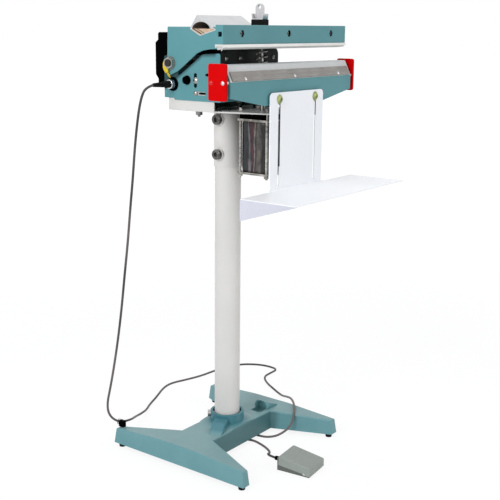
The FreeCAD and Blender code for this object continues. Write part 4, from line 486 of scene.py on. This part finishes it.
def shaded_casting(name):
    """Glossy enamel on the casting, by height and by distance r from the column: painted light
    on the tops, painted shade on the collar and boss and on the web walls (|y| < 74 mm, below
    the roof)."""
    f = Finish(name, srgb(101, 151, 156), 0.42, Specular_IOR_Level=0.35)
    x, y, z = f.axes()
    r = (x * x + y * y) ** 0.5
    slow = f.between(f.noise(11.0, 3.0), *SOFT_EDGE)
    skin = f.blend(slow, srgb(104, 150, 154), srgb(97, 144, 149))
    lift = f.axes(Val(f, f.where.socket.node.outputs["Normal"]))[2]
    # Painted light: faces that look up, high on the casting, are paler.
    top = f.between(lift, 0.80, 0.96) * f.between(z, 0.060, 0.0565)
    skin = f.blend(top * 0.9, skin, f.blend(slow, srgb(124, 157, 158), srgb(118, 151, 153)))
    # Painted shade: the collar round the column and the web walls under the roof are darker.
    collar_shade = f.between(r, 0.112, 0.106) * f.between(z, 0.0545, 0.062)
    walls = f.between(y.size(), 0.074, 0.060) * f.between(x.size(), 0.155, 0.110) * (1.0 - top)
    skin = f.blend(walls * f.between(z, 0.058, 0.050) * 0.9, skin,
                   f.blend(slow, srgb(72, 110, 113), srgb(66, 104, 107)))
    skin = f.blend(collar_shade * 0.95, skin, f.blend(slow, srgb(62, 119, 129), srgb(54, 111, 122)))
    f.set("color", skin)
    return enamel(f, 0.35, 330.0, 0.30)


housing_paint = shaded_housing("teal enamel, housing", *TEAL)
base_paint = shaded_casting("teal cast iron, base")
print("materials so far:", len(bpy.data.materials))

# %% [markdown]
# The shelf plate and its sheet are white, seen on white. Their shape shows through shade inside
# the slots and on the turned-down ends, so both are painted shade set by place: near black in
# the slots, grey on the ends.

# %% Shelf plate and shelf sheet
SLOT_X = 0.0634, 0.0706  # |x| of a slot's two sides
SLOT_TOP = 0.846
# Painted shade fills the slots from these heights up.
SLOT_SHADE_FROM = 0.70, 0.80  # lowest dark z in the left slot and in both slots
GUSSET_X, GUSSET_Z = 0.2115, 0.6508


def slotted(name):
    """White coat with painted shade, near black where |x| lies between the slot's sides and z
    within its ends; in the left slot it starts lower.
    """
    f = Finish(name, srgb(246, 247, 249), 0.42)
    x, y, z = f.axes()
    inside = x.size().over(SLOT_X[0]) * (1.0 - x.size().over(SLOT_X[1]))
    below_top = 1.0 - z.over(SLOT_TOP)
    left = z.over(SLOT_SHADE_FROM[0]) * below_top * (1.0 - x.over(0.0))
    both = z.over(SLOT_SHADE_FROM[1]) * below_top
    # Painted shade: the slots' insides are near black, the left one from lower down, where the
    # magnet stands behind it.
    dark = inside * left.math("MAXIMUM", both)
    f.set("color", f.blend(dark, mottled(f, srgb(246, 247, 249), srgb(243, 244, 247)),
                           srgb(8, 9, 10)))
    return enamel(f, 0.42, WHITE_GRAIN, 0.06)


def folded_white(name):
    """White coat; the end gussets, beyond |x| = 211.5 mm, are painted grey as shade."""
    f = Finish(name, srgb(252, 252, 253), 0.40)
    x, y, z = f.axes()
    # Painted shade: both turned-down ends are a lavender grey.
    ends = x.size().over(GUSSET_X) * (1.0 - z.over(GUSSET_Z))
    f.set("color", f.blend(ends, mottled(f, srgb(253, 253, 254), srgb(249, 249, 251)),
                           mottled(f, srgb(202, 202, 211), srgb(193, 193, 203))))
    return enamel(f, 0.41, WHITE_GRAIN, 0.05)


slotted_plate = slotted("white coat, slotted")
shelf_coat = folded_white("white coat, shelf")
print("materials so far:", len(bpy.data.materials))

# %% [markdown]
# Each red guard has two screws, and the rear one was painted over with the guard. Both heads are
# one imported node, so the finish splits them by y. The sleeve round the column has painted
# shade on its front, where the magnet stands close.

# %% Guard screws and sleeve
SCREW_SPLIT_Y = -0.160


def cap_screws(name):
    """Bright head in front of y = -160 mm, red enamel behind it."""
    f = Finish(name, srgb(206, 2, 4), 0.3)
    bright = 1.0 - f.axes()[1].over(SCREW_SPLIT_Y)
    marks = f.noise(700.0, 3.0)
    steel = f.blend(f.between(marks, *SOFT_EDGE), srgb(222, 222, 222), srgb(176, 176, 178))
    f.set("color", f.blend(bright, srgb(200, 2, 4), steel))
    f.set("metal", bright)
    f.set("rough", f.between(marks, 0.3, 0.7, 0.24, 0.38))
    return f.mat


def shaded_sleeve(name):
    """Pale paint with painted shade low down on the front, where the magnet stands close."""
    f = Finish(name, srgb(219, 216, 212), 0.34, Specular_IOR_Level=0.35)
    x, y, z = f.axes()
    # Painted shade of the magnet on the sleeve's front, stronger higher up.
    close = f.between(z, 0.70, 0.80, 0.12, 0.55) * f.between(y, -0.004, -0.034)
    f.set("color", f.blend(close, mottled(f, *COLUMN_TONES), srgb(52, 50, 48)))
    return enamel(f, 0.34, COLUMN_GRAIN, 0.08)


cap_screw_finish = cap_screws("cap screws")
sleeve_paint = shaded_sleeve("pale column paint, sleeve")
print("materials so far:", len(bpy.data.materials))

# %% [markdown]
# The CAD meshes are right as they are, so they only need a material. A table gives every
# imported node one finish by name; the cord's curve gets its own.

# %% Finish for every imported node
FINISHES = [
    (teal_sheet, "arm_shell upper_jaw_bar lower_jaw"),
    (housing_paint, "lower_housing"),
    (base_paint, "base_casting"),
    (column_coat, "column_tube tray_plate"),
    (sleeve_paint, "column_sleeve"),
    (slotted_plate, "shelf_plate"),
    (shelf_coat, "shelf_sheet"),
    (red_enamel, "end_cap_left end_cap_right"),
    (cap_screw_finish, "end_cap_screws"),
    (black_coat, "front_panel jaw_bracket"),
    (turned_steel, "base_set_bolt housing_screws pivot_nuts bar_screws anchor_clevis"
                   " clevis_pin pull_link plunger return_spring"),
    (dark_steel, "column_bolts tray_fasteners"),
    (old_steel, "pivot_shaft transformer"),
    (magnet_steel, "magnet_plates magnet_rods"),
    (strip_steel, "press_strip"),
    (stainless, "control_box press_strip_screws"),
    (aluminium, "pad_holder"),
    (chrome, "socket_ring anchor_eye bracket_bolts shelf_rivets switch_pin clip_ring"),
    (yellow_zinc, "shelf_screws"),
    (nichrome, "heating_ribbon"),
    (coil_finish, "magnet_coil"),
    (cloth_finish, "ptfe_cloth"),
    (silicone, "silicone_pad"),
    (phenolic, "insulating_strip"),
    (circuit_board, "timer_board"),
    (black_rubber, "rubber_feet cable_boot anchor_buffer"),
    (black_moulding, "rear_cover housing_pin fuse_holder cable_socket magnet_spacer"
                     " switch_micro cable_clip"),
    (grey_moulding, "switch_lid"),
    (dark_grey_moulding, "switch_base")]


def dress(obj, material):
    obj.data.materials.clear()
    obj.data.materials.append(material)


for material, names in FINISHES:
    for name in names.split():
        dress(nodes[name], material)
cord_curve.materials.append(cord_skin)
dressed = " ".join(names for material, names in FINISHES).split()
print("dressed:", len(dressed), "left:", sorted(set(nodes) - set(dressed)))

# %% [markdown]
# Some parts carry a surface that a plain solid doesn't: ribs on a cord boot, the
# knurl of a nut, a thin cloth under tension. They could be modelled by hand, but a
# formula says exactly what the shape is. Each is an array of points, a loop of points
# for every step along the shape, and one function joins any such array.

# %% Surfaces from arrays
def surface(name, rows, around=True, caps=True, up=None, smooth=True):
    """rows[i, j] is point j of loop i. Neighbours in i and in j are joined by quads;
    `around` joins the last j to the first, `caps` closes both ends with one face each,
    and `up` turns an open sheet so that its mean normal points that way."""
    rows = np.asarray(rows, float)
    n, m = rows.shape[:2]
    index = np.arange(n * m).reshape(n, m)
    if around:
        index = np.hstack([index, index[:, :1]])
    quads = np.stack([index[:-1, :-1], index[1:, :-1], index[1:, 1:], index[:-1, 1:]],
                     axis=-1).reshape(-1, 4)
    if up is not None:
        corner = rows.reshape(-1, 3)[quads]
        normal = np.cross(corner[:, 2] - corner[:, 0], corner[:, 3] - corner[:, 1]).sum(0)
        if normal @ np.asarray(up) < 0:
            quads = quads[:, ::-1]
    faces = quads.tolist()
    if around and caps:
        faces += [index[0, :m].tolist(), index[-1, :m][::-1].tolist()]
    mesh = bpy.data.meshes.new(name)
    mesh.from_pydata(rows.reshape(-1, 3).tolist(), [], faces)
    if around:
        work = bmesh.new()
        work.from_mesh(mesh)
        bmesh.ops.recalc_face_normals(work, faces=work.faces)
        work.to_mesh(mesh)
        work.free()
    mesh.shade_smooth() if smooth else mesh.shade_flat()
    obj = bpy.data.objects.new(name, mesh)
    bpy.context.scene.collection.objects.link(obj)
    size = np.ptp(rows.reshape(-1, 3), axis=0) * 1000
    print(f"{name}: {len(faces)} faces, {size.round(1)} mm")
    return obj


def mount(obj, body, material, slot, *stands_for):
    """Finish and body of a piece in one place; the slot is not used."""
    dress(obj, material)
    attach(obj, body)
    if stands_for:
        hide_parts(*stands_for)
    return obj


# %% [markdown]
# The cord leaves its connector through a moulded boot. On the real part the boot
# is a cone with deep rings, cut through on alternating sides so that it bends
# evenly. The radius is one function of the distance along the cord and the angle
# round it: a cone, less a ring wave where the angle is not on a bridge. The nut beside
# it is a ring whose radius swells at fine teeth, so its grip is real and not a bump.

# %% Cord boot and connector nut
low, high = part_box("cable_boot")
AXIS_Y, AXIS_Z = (low[1] + high[1]) / 2, (low[2] + high[2]) / 2


def around_x(x, radius, angle):
    """Points at radius[i, j] and angle[j] round the connector's axis, one loop per x[i]."""
    return np.stack([np.broadcast_to(x[:, None], radius.shape),
                     AXIS_Y + radius * np.cos(angle), AXIS_Z + radius * np.sin(angle)], axis=-1)


def boot_surface(rings=9, sides=56, steps=150):
    """r(s, a) = cone(s) - 1.3 mm * ring(s) * gap(a + quarter turn per ring)."""
    s = np.linspace(0.0, 1.0, steps)
    a = np.linspace(0.0, 2 * np.pi, sides, endpoint=False)
    cone = np.interp(s, [0, 0.10, 0.16, 0.26, 0.28, 0.97, 1.0],
                     np.array([7.8, 7.8, 8.0, 8.0, 6.6, 4.1, 3.5]) * 0.001)
    first, last = 0.32, 0.94
    ringed = (s > first) & (s < last)
    phase = (s - first) / (last - first) * rings
    ring = np.where(ringed, np.clip(1.6 * np.sin(phase * 2 * np.pi) + 0.3, 0, 1), 0.0)
    turn = np.floor(phase) * np.pi / 2
    gap = np.clip(3.0 * np.abs(np.sin(a[None, :] + turn[:, None])) - 0.6, 0, 1)
    radius = cone[:, None] - 0.0013 * ring[:, None] * gap
    return around_x(high[0] - s * (high[0] - low[0]), radius, a)


boot = mount(surface("cord_boot", boot_surface()), "stand", black_rubber, "cord_rubber",
             "cable_boot")


def nut_surface(teeth=44, sides=264):
    """A ring whose outer radius swells at fine straight teeth, open in the middle."""
    lo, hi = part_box("socket_ring")
    a = np.linspace(0.0, 2 * np.pi, sides, endpoint=False)
    R = (hi[2] - lo[2]) / 2
    bore = R - 0.0024
    width = hi[0] - lo[0]
    s = np.array([0.0, 0.0, 0.05, 0.14, 0.16, 0.74, 0.76, 0.90, 1.0, 1.0, 0.5, 0.0])
    out = np.array([bore, R - 0.0012, R - 0.0005, R - 0.0003, R - 0.0004, R - 0.0004,
                    R - 0.0003, R - 0.0003, R - 0.0010, bore, bore, bore])
    knurled = np.array([0, 0, 0, 0, 1, 1, 0, 0, 0, 0, 0, 0.0])
    tooth = 0.00035 * np.clip(np.sin(teeth * a) * 1.4, -1, 1)
    radius = out[:, None] + knurled[:, None] * tooth
    return around_x(lo[0] + s * width, radius, a)


mount(surface("connector_nut", nut_surface(), caps=False), "stand", chrome, "chrome",
      "socket_ring")

# %% [markdown]
# The release cloth is a thin strip of coated glass cloth. It lies on the lower jaw
# over the heating ribbon, bends round the front lip and is clamped under the steel
# strip. It is held tight on all sides, so it needs no cloth simulation: its points
# follow that profile, and a slow wave of a tenth of a millimetre loosens the flat part
# as on a stretched film.

# %% Release cloth
cloth_low, cloth_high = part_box("ptfe_cloth")
LIP_Y, FACE_Y = -0.167, -0.182
LIP_Z, FACE_Z = 0.9115, 0.8805
FACE_LENGTH = math.hypot(FACE_Y - LIP_Y, LIP_Z - FACE_Z)
SLOPE = np.array([FACE_Y - LIP_Y, FACE_Z - LIP_Z]) / FACE_LENGTH
OUT = np.array([SLOPE[1], -SLOPE[0]])
CLOTH_THICK = 0.00024
CLOTH_CLEAR = 0.00025  # from the jaw's face to the middle of the cloth
CLOTH_DROP = 0.0338  # how far it runs down the face
LIP_BEND = 0.0035
TOP_SHARE, LIP_SHARE = 0.40, 0.54  # t where the flat top and the bend end


def cloth_surface(across=220, along=90):
    """p(x, t): t runs from the rear edge over the top, round the lip and down the face."""
    x = np.linspace(cloth_low[0], cloth_high[0], across)
    top_z = cloth_high[2] - CLOTH_THICK / 2
    edge = np.array([LIP_Y, LIP_Z]) + OUT * CLOTH_CLEAR
    start, end = np.array([cloth_high[1], top_z]), edge + SLOPE * CLOTH_DROP
    lip = edge + SLOPE * (top_z - LIP_Z) / SLOPE[1]
    p0, p2 = lip + np.array([LIP_BEND, 0.0]), lip + SLOPE * LIP_BEND
    t = np.linspace(0, 1, along)
    on_top, on_lip = (t < TOP_SHARE)[:, None], (t < LIP_SHARE)[:, None]
    flat = start + (p0 - start) * np.clip(t / TOP_SHARE, 0, 1)[:, None]
    k = np.clip((t - TOP_SHARE) / (LIP_SHARE - TOP_SHARE), 0, 1)[:, None]
    curve = (1 - k) ** 2 * p0 + 2 * k * (1 - k) * lip + k ** 2 * p2
    down = p2 + (end - p2) * np.clip((t - LIP_SHARE) / (1 - LIP_SHARE), 0, 1)[:, None]
    line = np.where(on_top, flat, np.where(on_lip, curve, down))
    grid = np.zeros((across, along, 3))
    grid[:, :, 0] = x[:, None]
    grid[:, :, 1:] = line[None]
    wave = (np.sin(x * 61.0) * np.sin(x * 23.0 + 1.0))[:, None] * np.sin(np.pi * t)[None, :]
    grid[:, :, 2] -= 0.00006 * (1 + wave) * on_top.T
    return grid


def thicken(obj, thickness):
    """A sheet's wall, half of it on each side of the points."""
    solid = obj.modifiers.new("thickness", "SOLIDIFY")
    solid.thickness = thickness
    solid.offset = 0.0


cloth = surface("release_cloth", cloth_surface(), around=False, up=(0, -0.5, 1))
thicken(cloth, CLOTH_THICK)
mount(cloth, "stand", cloth_finish, "cloth", "ptfe_cloth")

# %% [markdown]
# The magnet's winding is a drum wrapped in film. A bump would leave its outline
# smooth, so the creases are in the points. Its plan is a rectangle with wide round
# corners that clears the four rods, and the film is drawn in at both ends. The wall
# runs up outside and comes down through the bore, so the drum is one closed shell.

# %% Wrapped winding
def drum_surface(steps=64, sides=192):
    """Plan point j: corner centre + r * (cos a, sin a), pushed out by
    0.35 mm sin(14 a + 1.2 sin 40 z) + 0.25 mm sin(23 a - 0.9 sin 55 z)."""
    lo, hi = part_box("magnet_coil")
    centre = (np.array(lo[:2]) + np.array(hi[:2])) / 2
    half, corner, bore = np.array([0.0335, 0.0412]), 0.024, 0.0150
    a = np.linspace(0, 2 * np.pi, sides, endpoint=False)
    ring = np.stack([np.cos(a), np.sin(a)], axis=1)
    blunt = np.clip(ring * 4.0, -1, 1)
    plan = blunt * (half - corner) + ring * corner
    t = np.linspace(0, 1, steps)
    clear = 0.0002
    z = lo[2] + clear + (hi[2] - lo[2] - 2 * clear) * t
    draw = 0.0016 * (np.exp(-t / 0.02) + np.exp(-(1 - t) / 0.02))
    crease = (0.35 * np.sin(14 * a + 1.2 * np.sin(40 * z)[:, None])
              + 0.25 * np.sin(23 * a - 0.9 * np.sin(55 * z)[:, None])) * 0.001
    push = crease * np.sin(np.pi * t)[:, None] ** 0.3 - draw[:, None]
    wall = plan[None] + ring[None] * push[:, :, None]
    hole = np.broadcast_to(ring * bore, (2, sides, 2))
    flat = np.concatenate([hole[:1], wall, hole])
    height = np.concatenate([z[:1], z, z[-1:], z[:1]])
    level = np.broadcast_to(height[:, None, None], flat.shape[:2] + (1,))
    return np.concatenate([flat + centre, level], axis=2)


mount(surface("wrapped_winding", drum_surface(), caps=False), "stand", coil_finish,
      "varnish", "magnet_coil")

# %% [markdown]
# The shelf is one folded sheet. Its two ends turn down as gussets that are 45 mm deep
# at the rear and run out at the front corner; behind the plate's width the rear edge
# stands 10 mm free. A short flange turns down in front of the plate for the rivets.
# Both are open grids that a modifier gives their thickness, as a folder bends one
# sheet, so the wall is even everywhere.

# %% Shelf sheet
SHEET = 0.002
FREE_REAR_Y = -0.1980
PLATE_HALF, NOTCH = 0.0985, 0.0035  # half the plate's width, and the step beside it
shelf_low, shelf_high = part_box("shelf_sheet")


def folded_sheet(depth=0.0430, lip=0.0015, span=121, fold=12, along=41):
    """p(u, v): u runs up one gusset, across the top and down the other; v from the front
    edge to the rear. Gusset height = lip + depth * v."""
    half, top = shelf_high[0] - SHEET / 2, shelf_high[2] - SHEET / 2
    drop = np.linspace(1, 0, fold)
    u = np.concatenate([np.full(fold, -half), np.linspace(-half, half, span)[1:-1],
                        np.full(fold, half)])
    down = np.concatenate([drop, np.zeros(span - 2), drop[::-1]])
    v = np.linspace(0, 1, along)
    joined = np.clip((PLATE_HALF - np.abs(u)) / NOTCH, 0, 1)
    rear = FREE_REAR_Y + (shelf_high[1] - FREE_REAR_Y) * joined
    y = shelf_low[1] + (rear[:, None] - shelf_low[1]) * v[None]
    z = top - down[:, None] * (lip + depth * v)[None]
    return np.stack([np.broadcast_to(u[:, None], y.shape), y, z], axis=-1)


def flange_sheet(half=0.089, round_off=0.008, span=61, along=9):
    """A strip under the rear edge, its lower corners rounded by a quarter circle."""
    x = np.linspace(-half, half, span)
    over = np.clip(np.abs(x) - (half - round_off), 0, round_off)
    low = shelf_low[2] + round_off - np.sqrt(round_off ** 2 - over ** 2)
    v = np.linspace(0, 1, along)
    z = low[:, None] + (shelf_high[2] - SHEET - low[:, None]) * v
    y = np.full(z.shape, shelf_high[1] - SHEET / 2)
    return np.stack([np.broadcast_to(x[:, None], z.shape), y, z], axis=-1)


top_sheet = surface("shelf_top", folded_sheet(), around=False, up=(0, 0, 1), smooth=False)
thicken(top_sheet, SHEET)
mount(top_sheet, "shelf", shelf_coat, "white_paint", "shelf_sheet")
flange = surface("shelf_flange", flange_sheet(), around=False, up=(0, -1, 0), smooth=False)
thicken(flange, SHEET)
mount(flange, "shelf", shelf_coat, "white_paint")

# %% [markdown]
# The return spring stands on its seat under the arm's clevis and lifts the arm again.
# It is a round wire swept along a helix.

# %% Return spring
def spring_surface(turns=6, sides=14, per_turn=40):
    """c(t) = (R cos a, R sin a, z(t)); each loop is wire * (cos b * n + sin b * m), where
    n points away from the axis and m is square to n and to the helix."""
    lo, hi = (np.array(v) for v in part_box("return_spring"))
    wire = 0.00125  # its radius
    radius = (hi[0] - lo[0]) / 2 - wire
    t = np.linspace(0, 1, turns * per_turn + 1)
    a = 2 * np.pi * turns * t
    n = np.stack([np.cos(a), np.sin(a), 0 * a], axis=1)
    path = radius * n
    path[:, 2] = lo[2] + wire + (hi[2] - lo[2] - 2 * wire) * t
    path[:, :2] += (lo[:2] + hi[:2]) / 2
    along = np.gradient(path, axis=0)
    along /= np.linalg.norm(along, axis=1, keepdims=True)
    m = np.cross(along, n)
    b = np.linspace(0, 2 * np.pi, sides, endpoint=False)
    return path[:, None] + wire * (n[:, None] * np.cos(b)[None, :, None]
                                   + m[:, None] * np.sin(b)[None, :, None])


spring = mount(surface("spring_wire", spring_surface()), "stand", turned_steel, "steel",
               "return_spring")
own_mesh(spring)

# %% [markdown]
# A yellow insulated lead ends in a lug under the left pivot nut and drops to the
# connector: the earth of the head. A bevelled curve has one round section, but this
# sleeve is flat at the lug and round where the wire is gripped, so it is a sweep whose
# two half-widths change on the way.

# %% Earth lead
def sweep(path, half_wide, half_thick, sides=20):
    """Ellipses square to a path: p = c(s) + wide(s) cos a * side + thick(s) sin a * x."""
    path = np.asarray(path, float)
    tangent = np.gradient(path, axis=0)
    tangent /= np.linalg.norm(tangent, axis=1, keepdims=True)
    flat = np.array([1.0, 0.0, 0.0])
    side = np.cross(tangent, flat)
    side /= np.linalg.norm(side, axis=1, keepdims=True)
    third = np.cross(side, tangent)
    a = np.linspace(0, 2 * np.pi, sides, endpoint=False)
    return (path[:, None, :] + side[:, None, :] * (half_wide[:, None] * np.cos(a))[:, :, None]
            + third[:, None, :] * (half_thick[:, None] * np.sin(a))[:, :, None])


def smooth_path(points, steps):
    """Catmull-Rom curve through points."""
    p = np.asarray(points, float)
    p = np.vstack([2 * p[0] - p[1], p, 2 * p[-1] - p[-2]])
    u = np.linspace(0, len(points) - 1, steps)
    k = np.clip(u.astype(int), 0, len(points) - 2)
    f = (u - k)[:, None]
    a, b, c, d = p[k], p[k + 1], p[k + 2], p[k + 3]
    return 0.5 * (2 * b + (c - a) * f + (2 * a - 5 * b + 4 * c - d) * f ** 2
                  + (3 * b - a - 3 * c + d) * f ** 3)


MM = 0.001
LEAD_STEPS = 60
lead_path = smooth_path([(-0.1125, 0.0865, 0.9120), (-0.1128, 0.0882, 0.9050),
                         (-0.1135, 0.0868, 0.8970), (-0.1132, 0.0822, 0.8895),
                         (-0.1105, 0.0790, 0.8820), (-0.1075, 0.0780, 0.8770)],
                        LEAD_STEPS)
s = np.linspace(0, 1, LEAD_STEPS)
wide = np.interp(s, [0, 0.05, 0.3, 0.62, 0.66, 1], np.array([4.5, 6.2, 6.6, 4.8, 2.2, 2.0]) * MM)
thin = np.interp(s, [0, 0.1, 0.4, 0.62, 0.66, 1], np.array([0.6, 0.8, 2.6, 2.6, 1.6, 1.6]) * MM)
yellow = moulded("yellow sleeve", srgb(224, 196, 30), srgb(206, 170, 22), 0.45, 600.0, 0.15)
mount(surface("earth_lead", sweep(lead_path, wide, thin)), "stand", yellow, "zinc_yellow")

# %% [markdown]
# The box on the arm is open at its left end. One sees a pale end flange with a
# half-round mouth, a dark hollow behind it, and below it a tan board that fills
# the lower corner of the box. The flange is a grid between two outlines, which needs no
# cutting, and the board is its own outline drawn out, with its grooves in the finish.

# %% Inside the control box
BOX_LEFT = -0.1085
RIM_Z = 0.9826  # lower edge of the flange
MOUTH_Y, MOUTH_HALF, MOUTH_RISE = -0.0100, 0.0238, 0.0138


def mouth_surface(points=72):
    """A flange between the box's outline and a half ellipse, turned in as a short wall."""
    a = np.linspace(0, np.pi, points)
    inner = np.stack([MOUTH_Y + MOUTH_HALF * np.cos(a), RIM_Z + MOUTH_RISE * np.sin(a)], axis=1)
    outline = np.array([(0.0186, RIM_Z), (-0.0002, 1.0088), (-0.0120, 1.0020),
                        (-0.0470, RIM_Z)])
    length = np.concatenate([[0], np.cumsum(np.linalg.norm(np.diff(outline, axis=0), axis=1))])
    t = np.linspace(0, length[-1], points)
    outer = np.stack([np.interp(t, length, outline[:, 0]),
                      np.interp(t, length, outline[:, 1])], axis=1)
    depth = [0.0006, 0.0006, 0.0012, 0.0090]
    loops = [outer, inner * 0.96 + outer * 0.04, inner, inner]
    grid = np.zeros((4, points, 3))
    for i, (d, loop) in enumerate(zip(depth, loops)):
        grid[i, :, 0] = BOX_LEFT + d
        grid[i, :, 1:] = loop
    return grid


mount(surface("box_mouth", mouth_surface(), around=False, up=(-1, 0, 0)), "arm",
      stainless, "stainless")


def prism(outline, x0, x1):
    """A flat outline in (Y, Z) drawn out along X."""
    grid = np.zeros((2, len(outline), 3))
    grid[:, :, 0] = [[x0], [x1]]
    grid[:, :, 1:] = outline
    return grid


def lined_board(name):
    """Tan board with two dark grooves parallel to its lower left edge, at distance d."""
    f = Finish(name, srgb(196, 170, 140), 0.55)
    x, y, z = f.axes()
    d = (z - 0.9815) * 0.8987 - (y - 0.0172) * 0.4387
    groove = f.between((d - 0.0034).size(), 0.0014, 0.0008)
    second = f.between((d - 0.0082).size(), 0.0009, 0.0005)
    grain = f.between(f.noise(240.0, 4.0), 0.3, 0.7)
    wood = f.blend(grain, srgb(182, 150, 122), srgb(206, 180, 152))
    f.set("color", f.blend(groove.math("MAXIMUM", second), wood, srgb(26, 20, 18)))
    f.set("rough", f.between(grain, 0.0, 1.0, 0.5, 0.62))
    f.bump(grain, 0.2, 0.0003)
    return f.mat


BOARD_OUTLINE = [(0.0166, 0.9824), (-0.0488, 0.9824), (-0.0480, 0.9800), (-0.0080, 0.9692),
                 (0.0172, 0.9815)]
mount(surface("box_board", prism(BOARD_OUTLINE, BOX_LEFT + 0.0008, 0.030), smooth=False),
      "arm", lined_board("tan board"), "laminate")

# %% [markdown]
# The pedal's lid is ribbed near its heel, where a shoe would slip. Eleven thin solids
# would do, but one wave is simpler: the ribs are a height over a loop that closes below
# the lid's skin, so the patch is one closed shell that sinks a little into the moulding.

# %% Tread of the foot switch
PEDAL_AT = np.array([-0.016, -0.2265])
PEDAL_TURN = math.radians(6.5)
TREAD_HALF = 0.0305
RIB_HEIGHT = 0.0009


def tread_surface(ribs=11, steps=221, rows=26):
    """z = lid + 0.9 mm * rounded square wave of x, faded at both ends of each rib."""
    x = np.linspace(-TREAD_HALF, TREAD_HALF, steps)
    y = np.linspace(0.0285, 0.0085, rows)
    lid = 0.036 - (0.0305 - y) * 12.0 / 70.5
    turn = 2 * np.pi * ribs * (x + TREAD_HALF) / (2 * TREAD_HALF)
    wave = np.clip(1.8 * np.cos(turn + np.pi) + 0.2, 0, 1)
    fade = np.clip(np.minimum(np.arange(rows), np.arange(rows)[::-1]) / 2.0, 0, 1)
    top = lid[None, :] + RIB_HEIGHT * wave[:, None] * fade[None, :] + 0.00004
    loop_y = np.concatenate([y, y[::-1]])
    loop_z = np.concatenate([top, np.broadcast_to(lid[::-1] - 0.0006, top.shape)], axis=1)
    c, s = math.cos(PEDAL_TURN), math.sin(PEDAL_TURN)
    gx = np.broadcast_to(x[:, None], loop_z.shape)
    gy = np.broadcast_to(loop_y[None, :], loop_z.shape)
    return np.stack([PEDAL_AT[0] + c * gx - s * gy, PEDAL_AT[1] + s * gx + c * gy, loop_z],
                    axis=-1)


mount(surface("pedal_tread", tread_surface()), "pedal", grey_moulding, "grey_plastic")

# %% [markdown]
# The photo was cut out on white, so the floor has to vanish and still carry the cord's
# soft shadow. A flat white plane would light the machine from below. This floor glows
# only for the camera and for mirrors, a little less near the machine, and is plain
# matt grey for all other light.

# %% Studio floor
WHITE = (1.0, 1.0, 1.0, 1.0)
FLOOR_HALF = 30.0


def eye_or_mirror(tree):
    """1 on rays from the camera or off a mirror, 0 on all others."""
    path = tree.nodes.new("ShaderNodeLightPath")
    either = tree.nodes.new("ShaderNodeMath")
    either.operation = "MAXIMUM"
    for index, ray in enumerate(("Is Camera Ray", "Is Glossy Ray")):
        tree.links.new(path.outputs[ray], either.inputs[index])
    return either.outputs[0]


def floor_finish():
    """Emission where the camera or a mirror looks, matt grey for all other rays."""
    f = Finish("studio floor", (0.86, 0.86, 0.86, 1.0), 0.9)
    tree = f.tree
    glow = tree.nodes.new("ShaderNodeEmission")
    glow.inputs[0].default_value = WHITE
    glow.inputs[1].default_value = 1.04
    mix = tree.nodes.new("ShaderNodeMixShader")
    x, y, z = f.axes()
    far = f.between((x * x + y * y) ** 0.5, 1.0, 3.0, 0.84, 1.0)
    share = Val(f, eye_or_mirror(tree)) * far
    tree.links.new(share.socket, mix.inputs[0])
    tree.links.new(f.bsdf.outputs[0], mix.inputs[1])
    tree.links.new(glow.outputs[0], mix.inputs[2])
    tree.links.new(mix.outputs[0], tree.nodes["Material Output"].inputs[0])
    return f.mat


def floor_sheet(size, steps):
    """Flat square grid at z = 0."""
    s = np.linspace(-size, size, steps)
    x, y = np.meshgrid(s, s)
    verts = np.stack([x.ravel(), y.ravel(), np.zeros(x.size)], axis=1)
    i = np.arange(steps * steps).reshape(steps, steps)
    quads = np.stack([i[:-1, :-1], i[:-1, 1:], i[1:, 1:], i[1:, :-1]], axis=-1).reshape(-1, 4)
    mesh = bpy.data.meshes.new("studio_floor")
    mesh.from_pydata(verts.tolist(), [], quads.tolist())
    return mesh


floor = bpy.data.objects.new("studio_floor", floor_sheet(FLOOR_HALF, 5))
bpy.context.scene.collection.objects.link(floor)
floor.data.materials.append(floor_finish())
print("floor:", len(floor.data.polygons), "faces")

# %% [markdown]
# A product studio is a white tent. The sky is that tent: white for the camera and for
# mirrors, so that bright metal has something pale to reflect, and a soft bluish grey
# for the light it sheds, so that the white parts keep their shape.

# %% Sky
SKY_LIGHT = 0.52

world = bpy.data.worlds.new("sky")
bpy.context.scene.world = world
world.use_nodes = True
sky = world.node_tree
sky_mix = sky.nodes.new("ShaderNodeMixShader")
soft = sky.nodes["Background"]
soft.inputs[0].default_value = (0.93, 0.96, 1.0, 1.0)
soft.inputs[1].default_value = SKY_LIGHT
bright = sky.nodes.new("ShaderNodeBackground")
bright.inputs[0].default_value = WHITE
bright.inputs[1].default_value = 1.0
sky.links.new(eye_or_mirror(sky), sky_mix.inputs[0])
sky.links.new(soft.outputs[0], sky_mix.inputs[1])
sky.links.new(bright.outputs[0], sky_mix.inputs[2])
sky.links.new(sky_mix.outputs[0], sky.nodes["World Output"].inputs[0])
print("sky sheds", SKY_LIGHT)

# %% [markdown]
# Three large softboxes give the shading inside the tent. The key stands on the left and
# lights the housing's side, a weak fill from the right lifts the fronts of the bars,
# and the top one brightens the shelf. Small lamps would throw hard shadows that the
# photo doesn't have.

# %% Lamps
def softbox(name, place, target, size, power, tone=(1.0, 1.0, 1.0)):
    """A rectangular lamp at a place, turned to its target. Metres and watts."""
    lamp = bpy.data.lights.new(name, "AREA")
    lamp.shape = "RECTANGLE"
    lamp.size, lamp.size_y = size
    lamp.energy = power
    lamp.color = tone
    obj = bpy.data.objects.new(name, lamp)
    look = Vector(target) - Vector(place)
    obj.matrix_world = (Matrix.Translation(place)
                        @ look.to_track_quat("-Z", "Y").to_matrix().to_4x4())
    bpy.context.scene.collection.objects.link(obj)


softbox("key", (-2.9, -0.4, 1.9), (0.0, 0.0, 0.75), (1.5, 1.5), 60.0, (0.95, 0.97, 1.0))
softbox("front fill", (1.2, -3.0, 1.6), (0.0, 0.0, 0.7), (2.0, 2.0), 26.0)
softbox("top", (0.2, 0.6, 3.2), (0.0, 0.0, 0.6), (1.8, 1.8), 20.0)
bpy.context.scene.view_settings.view_transform = "Standard"
